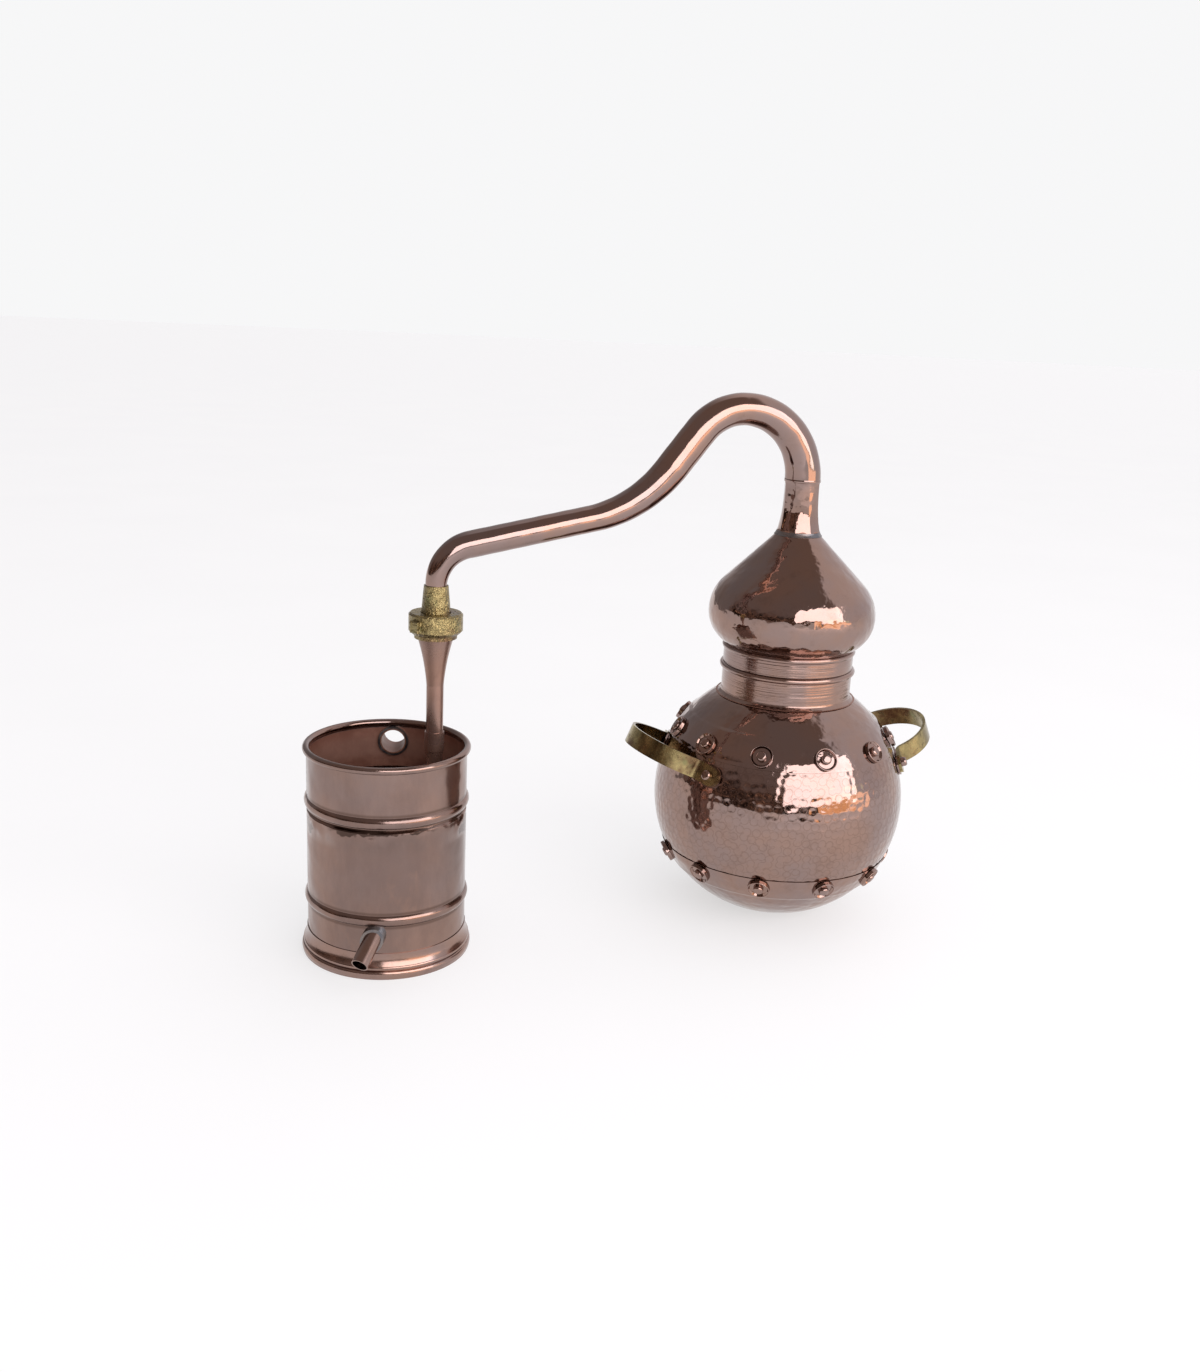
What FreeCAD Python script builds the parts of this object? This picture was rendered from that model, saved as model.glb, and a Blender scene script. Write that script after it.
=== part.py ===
"""A small riveted copper alembic still: pot, onion head with swan neck, screw union, worm condenser.

Millimetres, +Z up. The origin is on the floor under the pot's axis, the swan neck lies in the XZ plane
and the condenser stands on the -X side.
"""
import FreeCAD, Part
import math
import os
import Sketcher

DOC = FreeCAD.newDocument("alembic_still")
SHEET = DOC.addObject("Spreadsheet::Sheet", "sizes")
V = FreeCAD.Vector
UP = V(0, 0, 1)

SIZES = {
    # pot: two arcs of a circle that meet at the belt, the widest line
    "sheet_thick": 1.0,        # copper sheet of the pot and the head
    "belt_radius": 112.5,
    "belt_height": 105.0,
    "upper_arc": 114.0,
    "lower_arc": 108.0,
    "lap_top_angle": 41.5,     # angles above the belt, seen from the centre of the arc
    "lap_bottom_angle": 27.5,
    "upper_rivet_angle": 33.0,
    "pan_edge_angle": 24.5,    # angles below the belt
    "pan_step_angle": 37.0,
    "lower_rivet_angle": 29.5,
    "joggle_angle": 1.2,       # width of the step where one sheet rides over the other
    # neck collar of the pot
    "neck_radius": 57.4,
    "neck_bead_height": 225.5,
    "neck_bead_radius": 2.7,
    # rivets
    "rivet_count": 11,
    "upper_rivet_first": 201.0,
    "lower_rivet_first": 205.0,
    "rivet_shank": 2.4,
    "rivet_head": 4.4,
    "rivet_rise": 4.6,
    "rivet_tail": 1.6,
    "rivet_tail_gap": 0.15,
    "dish_radius": 9.8,
    "dish_height": 2.3,
    "dish_wall": 1.0,
    # strap handles
    "strap_wide": 16.5,
    "strap_thick": 2.5,
    "handle_seat_angle": 20.452,    # angle above the belt of the feet's rivets, on the upper arc
    "bow_radius": 41.0,
    "bow_reach": 44.0,
    "strap_bend": 7.0,
    "foot_start": 20.0,        # angles round the pot, from the middle of the handle
    "foot_rivet_angle": 27.5,
    "foot_end": 32.6,
    "pad_thick": 1.4,
    "pad_margin": 1.6,
    # head: collar with a spigot, onion dome, tapered throat
    "spigot_clearance": 0.3,
    "spigot_length": 22.0,
    "seat_clearance": 0.3,
    "dome_foot_height": 245.5,
    "dome_radius": 74.0,
    "dome_belt_height": 274.0,
    "dome_upper_arc": 40.0,
    "dome_top_radius": 19.6,
    "dome_ring_out": 1.6,
    "dome_ring_tall": 4.6,
    # swan neck, in the XZ plane
    "arch_rise_radius": 59.0,
    "arch_fall_radius": 50.0,
    "arch_top_height": 450.0,
    "fall_angle": 52.0,
    "run_angle": 11.3,
    "elbow_radius": 115.0,
    "drop_radius": 33.0,
    "union_reach": 320.0,
    "run_end_height": 332.3,
    "tube_wall": 1.0,
    "tube_foot_radius": 15.6,
    "tube_arch_radius": 13.6,
    "tube_fall_radius": 14.0,
    "tube_run_radius": 11.2,
    "tube_end_radius": 8.8,
    # screw union
    "union_gap": 0.3,
    "nut_radius": 22.0,
    "nut_top": 283.0,
    "nut_tall": 17.5,
    "nut_lip": 2.4,
    "thread_radius": 16.6,
    "tail_foot_radius": 12.2,
    "tail_top_radius": 9.9,
    "tail_top": 305.0,
    "tail_flange": 2.8,
    "washer_thick": 1.5,
    "male_rim_radius": 17.4,
    "male_rim_bottom": 262.0,
    "lug_reach": 4.0,
    "lug_wide": 9.0,
    "lug_turn": 215.0,
    "cone_top_radius": 14.6,
    "cone_bottom_height": 222.0,
    "cone_hollow": 1.1,        # how far the cone's side curves in from a straight one
    # condenser bucket
    "bucket_offset_x": 40.5,
    "bucket_offset_y": 7.8,
    "bucket_radius": 65.0,
    "bucket_wall": 1.0,
    "rim_height": 174.5,
    "rim_bead": 3.0,
    "bead_out": 2.1,
    "bead_tall": 9.0,
    "upper_bead_height": 131.0,
    "lower_bead_height": 48.6,
    "foot_reach": 5.0,         # how far the foot ring stands out from the bucket's wall
    "foot_tall": 21.0,
    "foot_lip": 0.8,           # the lower bead rises from the lip, the upper one from the ledge
    "foot_ledge": 2.0,
    "foot_cove": 1.1,
    "foot_top": 0.6,
    "floor_height": 6.0,
    "floor_flange": 6.0,
    # worm
    "worm_tube": 7.0,
    "worm_wall": 1.0,
    "worm_slope": 5.2,         # fall of the coil, in degrees
    "worm_whole_turns": 4,
    "worm_bends_per_turn": 6,
    "worm_bend": 20.0,
    "socket_height": 182.0,
    "socket_tall": 16.0,
    "socket_wall": 1.1,
    "stay_wide": 8.0,
    "stay_thick": 1.6,
    # spouts
    "outlet_angle": 251.0,
    "outlet_height": 35.5,
    "outlet_yaw": 19.0,
    "outlet_slope": 32.0,
    "outlet_length": 27.0,
    "overflow_angle": 75.5,
    "overflow_height": 158.5,
    "overflow_radius": 11.0,
    "overflow_wall": 1.0,
    "overflow_inside": 2.6,
    "overflow_outside": 26.0,
    "spout_collar_wall": 2.0,
    "spout_collar_long": 4.0,
}


class Size:
    """A length or an angle with the spreadsheet expression that gives it."""

    def __init__(self, value, text):
        self.value = value
        self.text = text

    def joined(self, other, sign, value):
        text = other.text if isinstance(other, Size) else repr(other)
        return Size(value, f"({self.text} {sign} {text})")

    def __add__(self, other):
        return self.joined(other, "+", self.value + number(other))

    def __sub__(self, other):
        return self.joined(other, "-", self.value - number(other))

    def __mul__(self, other):
        return self.joined(other, "*", self.value * number(other))


def number(size):
    return size.value if isinstance(size, Size) else float(size)


class Sizes:
    """Reads every driving size back from the spreadsheet, by its alias."""

    def __init__(self):
        for row, (name, value) in enumerate(SIZES.items(), start=1):
            SHEET.set(f"A{row}", name)
            SHEET.set(f"B{row}", str(value))
            SHEET.setAlias(f"B{row}", name)
        DOC.recompute()
        for name in SIZES:
            setattr(self, name, Size(float(SHEET.get(name)), f"sizes.{name}"))


S = Sizes()
NODES = []


def node(label, made, place=None):
    """Names a finished object as one sub-part of the still."""
    made.Label = label
    made.Placement = place or FreeCAD.Placement()
    NODES.append(made)
    return made


def bind(thing, prop, size):
    if isinstance(size, Size):
        thing.setExpression(prop, size.text)
    else:
        setattr(thing, prop, size)


# ---------------------------------------------------------------- sketches and turned bodies
def plane_of(body, role):
    return next(f for f in body.Origin.OriginFeatures if f.Role == role)


def sketch_on(body, role):
    sketch = body.newObject("Sketcher::SketchObject", "Outline")
    sketch.AttachmentSupport = (plane_of(body, role), "")
    sketch.MapMode = "FlatFace"
    return sketch


def pin_vertex(sketch, edge, radius, height):
    """Holds the start of an edge at its size from the two axes of the sketch."""
    for kind, axis, size in (("DistanceX", -2, radius), ("DistanceY", -1, height)):
        if number(size) == 0:
            sketch.addConstraint(Sketcher.Constraint("PointOnObject", edge, 1, axis))
            continue
        index = sketch.addConstraint(Sketcher.Constraint(kind, -1, 1, edge, 1, number(size)))
        if isinstance(size, Size):
            sketch.setExpression(f"Constraints[{index}]", size.text)


def outline(sketch, corners):
    """Closed outline through (radius, height) corners; a third item is a point that an arc passes.

    A sketch keeps its arcs counter-clockwise, so one that runs the other way is stored from its end.
    """
    spots = [V(number(c[0]), number(c[1]), 0) for c in corners]
    for i, corner in enumerate(corners):
        start, end = spots[i], spots[(i + 1) % len(spots)]
        if len(corner) > 2:
            middle = V(number(corner[2][0]), number(corner[2][1]), 0)
            if (middle - start).cross(end - middle).z < 0:
                start, end = end, start
            sketch.addGeometry(Part.Arc(start, middle, end), False)
        else:
            sketch.addGeometry(Part.LineSegment(start, end), False)
    return spots


def join_up(sketch, corners, spots):
    """Joins the ends of neighbouring edges, whichever way round an arc was stored."""
    ends = []
    for i in range(len(corners)):
        curve = sketch.Geometry[i]
        first = curve.StartPoint.distanceToPoint(spots[i]) < 1e-6
        ends.append((1, 2) if first else (2, 1))
    for i in range(len(corners)):
        j = (i + 1) % len(corners)
        sketch.addConstraint(Sketcher.Constraint("Coincident", i, ends[i][1], j, ends[j][0]))
    return ends


def turned(label, corners, place=None):
    """A body turned about the Z axis from a closed outline."""
    body = DOC.addObject("PartDesign::Body", label)
    sketch = sketch_on(body, "XZ_Plane")
    spots = outline(sketch, corners)
    ends = join_up(sketch, corners, spots)
    for i, corner in enumerate(corners):
        if ends[i][0] == 1 and len(corner) == 2:
            pin_vertex(sketch, i, corner[0], corner[1])
    turn = body.newObject("PartDesign::Revolution", "Turn")
    turn.Profile = sketch
    turn.ReferenceAxis = (sketch, ["V_Axis"])
    turn.Angle = 360
    body.Tip = turn
    return node(label, body, place)


# ---------------------------------------------------------------- small geometry helpers
def cos(degrees):
    return math.cos(math.radians(degrees))


def sin(degrees):
    return math.sin(math.radians(degrees))


def on_arc(middle, radius, degrees):
    """(radius, height) of a point on an arc about middle, its angle counted from the horizontal."""
    return (middle[0] + radius * cos(degrees), middle[1] + radius * sin(degrees))


def arc_run(middle, radius, start, end):
    """Corner at the start of an arc that runs to the angle end, for outline()."""
    return on_arc(middle, radius, start) + (on_arc(middle, radius, (start + end) / 2),)


def feature(label, shape, place=None):
    made = DOC.addObject("Part::Feature", label)
    made.Shape = shape
    return node(label, made, place)


def hidden(name, shape):
    """A tool shape that cuts a sub-part and is not one itself."""
    made = DOC.addObject("Part::Feature", name)
    made.Shape = shape
    return made


def cut(label, base, tools):
    """Base with the tools taken out of it, as one sub-part."""
    for tool in tools:
        made = DOC.addObject("Part::Cut", label + "_cut")
        made.Base, made.Tool = base, tool
        base = made
    if base in NODES:
        NODES.remove(base)
    return node(label, base)


def blank(label, corners):
    """A turned body that is cut further before it is a sub-part."""
    body = turned(label + "_blank", corners)
    NODES.remove(body)
    return body


def at(x, y, z=0.0):
    return FreeCAD.Placement(V(x, y, z), FreeCAD.Rotation())


def turned_shape(corners):
    """A plain solid of revolution about Z through (radius, height) corners."""
    spots = [V(number(c[0]), 0, number(c[1])) for c in corners]
    edges = []
    for i, corner in enumerate(corners):
        start, end = spots[i], spots[(i + 1) % len(spots)]
        if len(corner) > 2:
            edges.append(Part.Arc(start, V(corner[2][0], 0, corner[2][1]), end).toShape())
        else:
            edges.append(Part.makeLine(start, end))
    return Part.Face(Part.Wire(edges)).revolve(V(0, 0, 0), UP, 360)


def standing_on(spot, normal):
    """Placement with its Z axis along normal and its origin at spot."""
    return FreeCAD.Placement(spot, FreeCAD.Rotation(UP, normal))


# ---------------------------------------------------------------- pot
SHEET_T = S.sheet_thick.value
BELT = (S.belt_radius.value, S.belt_height.value)
UPPER_MIDDLE = (BELT[0] - S.upper_arc.value, BELT[1])
LOWER_MIDDLE = (BELT[0] - S.lower_arc.value, BELT[1])
LAP_TOP, LAP_BOTTOM = S.lap_top_angle.value, S.lap_bottom_angle.value
PAN_EDGE, PAN_STEP = S.pan_edge_angle.value, S.pan_step_angle.value
JOGGLE = S.joggle_angle.value
NECK_ANGLE = math.degrees(math.acos((S.neck_radius.value - UPPER_MIDDLE[0]) / S.upper_arc.value))
NECK_FOOT = on_arc(UPPER_MIDDLE, S.upper_arc.value, NECK_ANGLE)[1]


def upper_run(out, start, end):
    return arc_run(UPPER_MIDDLE, S.upper_arc.value + out, start, end)


def upper_spot(out, angle):
    return on_arc(UPPER_MIDDLE, S.upper_arc.value + out, angle)


def lower_run(out, start, end):
    return arc_run(LOWER_MIDDLE, S.lower_arc.value + out, start, end)


def lower_spot(out, angle):
    return on_arc(LOWER_MIDDLE, S.lower_arc.value + out, angle)


def floor_angle(inside):
    """Angle at which the lower arc meets the flat bottom, on its outer or its inner side."""
    depth = BELT[1] - inside
    return -math.degrees(math.asin(depth / (S.lower_arc.value - inside)))


def make_base():
    outer, inner = floor_angle(0.0), floor_angle(SHEET_T)
    step = -(PAN_STEP + JOGGLE)
    return blank("pot_base", [
        (0, 0),
        lower_run(0, outer, step),
        lower_spot(0, step),
        lower_run(SHEET_T, -PAN_STEP, -PAN_EDGE),
        lower_spot(SHEET_T, -PAN_EDGE),
        lower_run(0, -PAN_EDGE, -PAN_STEP),
        lower_spot(0, -PAN_STEP),
        lower_run(-SHEET_T, step, inner),
        lower_spot(-SHEET_T, inner),
        (0, S.sheet_thick),
    ])


def make_belly():
    return blank("pot_belly", [
        lower_run(0, -PAN_STEP, 0),
        upper_run(0, 0, LAP_TOP),
        upper_spot(0, LAP_TOP),
        upper_run(-SHEET_T, LAP_TOP, 0),
        lower_run(-SHEET_T, 0, -PAN_STEP),
        lower_spot(-SHEET_T, -PAN_STEP),
    ])


def make_shoulder():
    inner_neck = math.degrees(math.acos(
        (S.neck_radius.value - UPPER_MIDDLE[0]) / (S.upper_arc.value - SHEET_T)))
    return blank("pot_shoulder", [
        upper_run(SHEET_T, LAP_BOTTOM, LAP_TOP),
        upper_spot(SHEET_T, LAP_TOP),
        upper_run(0, LAP_TOP + JOGGLE, NECK_ANGLE),
        upper_spot(0, NECK_ANGLE),
        upper_run(-SHEET_T, inner_neck, LAP_TOP + JOGGLE),
        upper_spot(-SHEET_T, LAP_TOP + JOGGLE),
        upper_run(0, LAP_TOP, LAP_BOTTOM),
        upper_spot(0, LAP_BOTTOM),
    ])


def make_neck_collar():
    bead = S.neck_bead_radius
    crown = (number(S.neck_radius + bead), number(S.neck_bead_height))
    foot = NECK_FOOT - 2 * SHEET_T
    turned("neck_collar", [
        (S.neck_radius - S.sheet_thick, foot),
        (S.neck_radius, foot),
        (S.neck_radius, S.neck_bead_height - bead, crown),
        (S.neck_radius, S.neck_bead_height + bead),
        (S.neck_radius - S.sheet_thick, S.neck_bead_height + bead),
    ])


def pot_core():
    """The pot as a filled shape, to seat pads on its skin."""
    return turned_shape([
        (0, 0),
        lower_run(0, floor_angle(0.0), 0),
        upper_run(0, 0, LAP_BOTTOM),
        upper_spot(0, LAP_BOTTOM),
        upper_run(SHEET_T, LAP_BOTTOM, LAP_TOP),
        upper_spot(SHEET_T, LAP_TOP),
        upper_run(0, LAP_TOP + JOGGLE, NECK_ANGLE),
        upper_spot(0, NECK_ANGLE),
        (0, NECK_FOOT),
    ])


# ---------------------------------------------------------------- rivets
def rivet_shape(grip):
    """Rivet along Z: a button head above zero, a shank down through grip and a set tail inside."""
    head, rise, shank = S.rivet_head.value, S.rivet_rise.value, S.rivet_shank.value
    tail_top = -grip - S.rivet_tail_gap.value
    button = Part.makeCylinder(head, rise)
    crown = [edge for edge in button.Edges if edge.Closed and edge.CenterOfMass.z > rise / 2]
    button = button.makeFillet(min(rise, head) * 0.5, crown)
    stem = Part.makeCylinder(shank, -tail_top, V(0, 0, tail_top))
    tail = Part.makeCylinder(head * 0.8, S.rivet_tail.value, V(0, 0, tail_top - S.rivet_tail.value))
    return button.multiFuse([stem, tail])


def seat_round(middle, radius, degrees):
    """Larger of a turned sheet's two radii of curvature, along its arc and across it."""
    return max(radius, radius + middle[0] / cos(degrees))


def dish_shape(seat_radius):
    """Dished washer under a rivet head, its underside fitted to the round sheet below it."""
    rim, wall, tall = S.dish_radius.value, S.dish_wall.value, S.dish_height.value
    shank = S.rivet_shank.value
    plate = turned_shape([
        (shank, -wall),
        (rim, -wall),
        (rim, tall, (rim - wall / 2, tall + wall / 2)),
        (rim - wall, tall),
        (rim - wall * 2.2, wall * 0.9),
        (S.rivet_head.value, wall * 0.9),
        (S.rivet_head.value, 0),
        (shank, 0),
    ])
    ball = Part.makeSphere(seat_radius, V(0, 0, -seat_radius))
    return plate.cut(ball)


def ring_places(middle, radius, degrees, first):
    """Placement of each rivet of a ring, standing on the sheet."""
    count = int(S.rivet_count.value)
    places = []
    for k in range(count):
        turn = first + 360.0 * k / count
        out, height = on_arc(middle, radius, degrees)
        normal = V(cos(degrees) * cos(turn), cos(degrees) * sin(turn), sin(degrees))
        places.append(standing_on(V(out * cos(turn), out * sin(turn), height), normal))
    return places


def copies(shape, places):
    made = []
    for place in places:
        one = shape.copy()
        one.Placement = place
        made.append(one)
    return Part.makeCompound(made)


def drill_shape(grip):
    """Cylinder that opens the hole for a rivet's shank."""
    deep = grip + 2.0
    return Part.makeCylinder(S.rivet_shank.value, deep + 1.0, V(0, 0, -deep))


UPPER_SEAT = (UPPER_MIDDLE, S.upper_arc.value + SHEET_T, S.upper_rivet_angle.value)
LOWER_SEAT = (LOWER_MIDDLE, S.lower_arc.value + SHEET_T, -S.lower_rivet_angle.value)
UPPER_PLACES = ring_places(*UPPER_SEAT, S.upper_rivet_first.value)
LOWER_PLACES = ring_places(*LOWER_SEAT, S.lower_rivet_first.value)


def make_rivet_rings():
    for name, places, seat in (("upper", UPPER_PLACES, UPPER_SEAT), ("lower", LOWER_PLACES, LOWER_SEAT)):
        feature(name + "_rivets", copies(rivet_shape(2 * SHEET_T), places))
        feature(name + "_dishes", copies(dish_shape(seat_round(*seat)), places))


# ---------------------------------------------------------------- strap handles
def handle_tilt():
    """Tilt of a handle's plane that sets its feet's rivets at their angle on the upper arc."""
    height = S.upper_arc.value * sin(S.handle_seat_angle.value)
    tilt = S.handle_seat_angle.value
    for _ in range(20):
        seat = S.upper_arc.value + UPPER_MIDDLE[0] * cos(tilt)
        tilt = math.degrees(math.asin(height / (seat * cos(S.foot_rivet_angle.value))))
    return tilt


TILT = handle_tilt()
SEAT = S.upper_arc.value + UPPER_MIDDLE[0] * cos(TILT)
STRAP_MIDDLE = SEAT + S.pad_thick.value + S.strap_thick.value / 2


def handle_frame(side):
    """Placement of a handle: local X along the pot, local Y outwards and up, Z across the strap."""
    tilt, facing = TILT, 0.0 if side == "right" else 180.0
    along = V(-sin(facing), cos(facing), 0)
    outward = V(cos(tilt) * cos(facing), cos(tilt) * sin(facing), sin(tilt))
    turn = FreeCAD.Rotation(along, outward, along.cross(outward), "XYZ")
    return FreeCAD.Placement(V(0, 0, BELT[1]), turn)


def from_middle(radius, degrees):
    """Point of the handle's own plane, by its distance and angle from the middle of the pot."""
    return V(radius * sin(degrees), radius * cos(degrees), 0)


def strap_side(out):
    """One long side of the strap, from foot to foot, at a distance from its middle line."""
    foot, bend, bow = STRAP_MIDDLE, S.strap_bend.value, S.bow_radius.value
    end = S.foot_end.value
    reach = math.sqrt((foot + bend) ** 2 - (bow + bend) ** 2)
    pivot = V(bow + bend, reach, 0)
    top = SEAT + S.bow_reach.value - bow
    seat_angle = math.degrees(math.atan2(pivot.x, pivot.y))
    seat_end = from_middle(foot + out, seat_angle)
    knee = V(bow + out, reach, 0)
    half_bend = pivot + (seat_end - pivot + knee - pivot).normalize() * (bend - out)
    edges = [
        Part.Arc(from_middle(foot + out, end), from_middle(foot + out, (end + seat_angle) / 2), seat_end),
        Part.Arc(seat_end, half_bend, knee),
        Part.LineSegment(knee, V(bow + out, top, 0)),
        Part.Arc(V(bow + out, top, 0), V(0, top + bow + out, 0), V(-bow - out, top, 0)),
    ]
    mirror = [Part.LineSegment(V(-bow - out, top, 0), V(-knee.x, knee.y, 0)),
              Part.Arc(V(-knee.x, knee.y, 0), V(-half_bend.x, half_bend.y, 0), V(-seat_end.x, seat_end.y, 0)),
              Part.Arc(V(-seat_end.x, seat_end.y, 0), from_middle(foot + out, -(end + seat_angle) / 2),
                       from_middle(foot + out, -end))]
    return edges + mirror


def handle_rivet_places(side, radius):
    frame = handle_frame(side)
    places = []
    for angle in (-S.foot_rivet_angle.value, S.foot_rivet_angle.value):
        spot = from_middle(radius, angle)
        places.append(frame.multiply(standing_on(spot, spot)))
    return places


def rounded_ends(shape, radius, span):
    """Rounds the four free corners of each end, seen from above the sheet."""
    corners = []
    for edge in shape.Edges:
        middle = edge.CenterOfMass
        angle = abs(math.degrees(math.atan2(middle.x, middle.y)))
        if edge.Length < S.strap_thick.value * 1.6 and angle > span - 0.3 and abs(middle.z) > 1:
            corners.append(edge)
    return shape.makeFillet(radius, corners)


def make_handle(side):
    half = S.strap_thick.value / 2
    outer, inner = strap_side(half), strap_side(-half)
    last, first = from_middle(STRAP_MIDDLE + half, -S.foot_end.value), \
        from_middle(STRAP_MIDDLE - half, -S.foot_end.value)
    mirror_last, mirror_first = V(-last.x, last.y, 0), V(-first.x, first.y, 0)
    body = DOC.addObject("PartDesign::Body", "handle_" + side + "_blank")
    sketch = sketch_on(body, "XY_Plane")
    sketch.addGeometry(outer + inner + [Part.LineSegment(last, first),
                                        Part.LineSegment(mirror_first, mirror_last)], False)
    pad = body.newObject("PartDesign::Pad", "Strap")
    pad.Profile = sketch
    pad.Midplane = True
    bind(pad, "Length", S.strap_wide)
    body.Tip = pad
    DOC.recompute()
    strap = rounded_ends(body.Shape, S.strap_wide.value / 2 - 0.15, S.foot_end.value)
    drills = copies(drill_shape(S.strap_thick.value), [
        handle_frame(side).inverse().multiply(p)
        for p in handle_rivet_places(side, STRAP_MIDDLE + half)])
    feature("handle_" + side, strap.cut(drills), handle_frame(side))


def pad_outline(low, high, start, end):
    return Part.Wire([
        Part.Arc(from_middle(low, start), from_middle(low, (start + end) / 2), from_middle(low, end)).toShape(),
        Part.makeLine(from_middle(low, end), from_middle(high, end)),
        Part.Arc(from_middle(high, end), from_middle(high, (start + end) / 2),
                 from_middle(high, start)).toShape(),
        Part.makeLine(from_middle(high, start), from_middle(low, start)),
    ])


def make_pads(side, core):
    """Copper pads between the handle's feet and the pot, each fitted to the pot's skin."""
    wide = S.strap_wide.value + 2 * S.pad_margin.value
    more = math.degrees(S.pad_margin.value / SEAT)
    low, high = SEAT - 1.0, SEAT + S.pad_thick.value
    pads = []
    frame = handle_frame(side)
    for sign in (-1, 1):
        face = Part.Face(pad_outline(low, high, sign * (S.foot_start.value + more),
                                     sign * (S.foot_end.value + more)))
        slab = face.extrude(V(0, 0, wide))
        slab.translate(V(0, 0, -wide / 2))
        slab = rounded_ends(slab, wide / 2 - 0.15, S.foot_end.value + more)
        slab.Placement = frame.multiply(slab.Placement)
        pads.append(slab)
    drills = copies(drill_shape(S.pad_thick.value + 2.0), handle_rivet_places(side, high))
    feature("handle_pads_" + side, Part.makeCompound(pads).cut(core).cut(drills))


def make_handle_rivets(side):
    grip = S.strap_thick.value + S.pad_thick.value + SHEET_T
    places = handle_rivet_places(side, STRAP_MIDDLE + S.strap_thick.value / 2)
    feature("handle_rivets_" + side, copies(rivet_shape(grip), places))


def make_pot():
    DOC.recompute()
    ring_drill = drill_shape(2 * SHEET_T)
    upper, lower = copies(ring_drill, UPPER_PLACES), copies(ring_drill, LOWER_PLACES)
    feet = [place for side in ("left", "right") for place in handle_rivet_places(side, SEAT)]
    foot_drill = copies(drill_shape(SHEET_T), feet)
    upper_tool, lower_tool = hidden("upper_drills", upper), hidden("lower_drills", lower)
    foot_tool = hidden("foot_drills", foot_drill)
    cut("pot_base", make_base(), [lower_tool])
    cut("pot_belly", make_belly(), [upper_tool, lower_tool, foot_tool])
    cut("pot_shoulder", make_shoulder(), [upper_tool])
    make_neck_collar()
    make_rivet_rings()
    core = pot_core()
    for side in ("left", "right"):
        make_handle(side)
        make_pads(side, core)
        make_handle_rivets(side)


# ---------------------------------------------------------------- head
SEAM_HEIGHT = S.arch_top_height.value - S.arch_rise_radius.value
DOME_SHARE = 45.0
DOME_MIDDLE = (S.dome_radius.value - S.dome_upper_arc.value, S.dome_belt_height.value)


def dome_lower_arc():
    """Radius of the arc from the collar out to the widest line of the dome."""
    out = S.dome_radius.value - S.neck_radius.value
    rise = S.dome_belt_height.value - S.dome_foot_height.value
    return (out * out + rise * rise) / (2 * out)


def dome_top_height():
    slope_start = on_arc(DOME_MIDDLE, S.dome_upper_arc.value, DOME_SHARE)
    return slope_start[1] + slope_start[0] - S.dome_top_radius.value


def make_head_collar():
    wall = S.sheet_thick
    spigot = S.neck_radius - wall - S.spigot_clearance
    seat = S.neck_bead_height + S.neck_bead_radius + S.seat_clearance
    top = S.dome_foot_height
    turned("head_collar", [
        (spigot - wall, seat - S.spigot_length),
        (spigot, seat - S.spigot_length),
        (spigot, seat),
        (S.neck_radius, seat),
        (S.neck_radius, top),
        (S.neck_radius - wall, top),
        (S.neck_radius - wall, seat + wall),
        (spigot - wall, seat + wall),
    ])


def make_head_ring():
    low, tall = number(S.dome_foot_height - S.dome_ring_tall), S.dome_ring_tall.value
    crown = (number(S.neck_radius + S.dome_ring_out), low + tall / 2)
    turned("head_ring", [
        (S.neck_radius, S.dome_foot_height - S.dome_ring_tall, crown),
        (S.neck_radius, S.dome_foot_height),
    ])


def make_dome():
    low_arc = dome_lower_arc()
    low_middle = (S.dome_radius.value - low_arc, S.dome_belt_height.value)
    drop = S.dome_belt_height.value - S.dome_foot_height.value
    outer_foot = -math.degrees(math.asin(drop / low_arc))
    inner_foot = -math.degrees(math.asin(drop / (low_arc - SHEET_T)))
    top, rim = dome_top_height(), S.dome_top_radius.value
    slant = SHEET_T / cos(DOME_SHARE)
    turned("head_dome", [
        arc_run(low_middle, low_arc, outer_foot, 0),
        arc_run(DOME_MIDDLE, S.dome_upper_arc.value, 0, DOME_SHARE),
        on_arc(DOME_MIDDLE, S.dome_upper_arc.value, DOME_SHARE),
        (rim, top),
        (rim - slant, top),
        arc_run(DOME_MIDDLE, S.dome_upper_arc.value - SHEET_T, DOME_SHARE, 0),
        arc_run(low_middle, low_arc - SHEET_T, 0, inner_foot),
        on_arc(low_middle, low_arc - SHEET_T, inner_foot),
    ])


def make_throat():
    """Tapered throat from the dome up to the seam with the swan neck."""
    foot, top, low = S.dome_top_radius.value, S.tube_foot_radius.value, dome_top_height()
    slant = SHEET_T / cos(DOME_SHARE)
    waist = (top + (foot - top) * 0.24, low + (SEAM_HEIGHT - low) * 0.4)
    turned("head_throat", [
        (foot, low, waist),
        (S.tube_foot_radius, SEAM_HEIGHT),
        (S.tube_foot_radius - S.tube_wall, SEAM_HEIGHT, (waist[0] - SHEET_T, waist[1])),
        (foot - slant, low),
    ])


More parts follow.
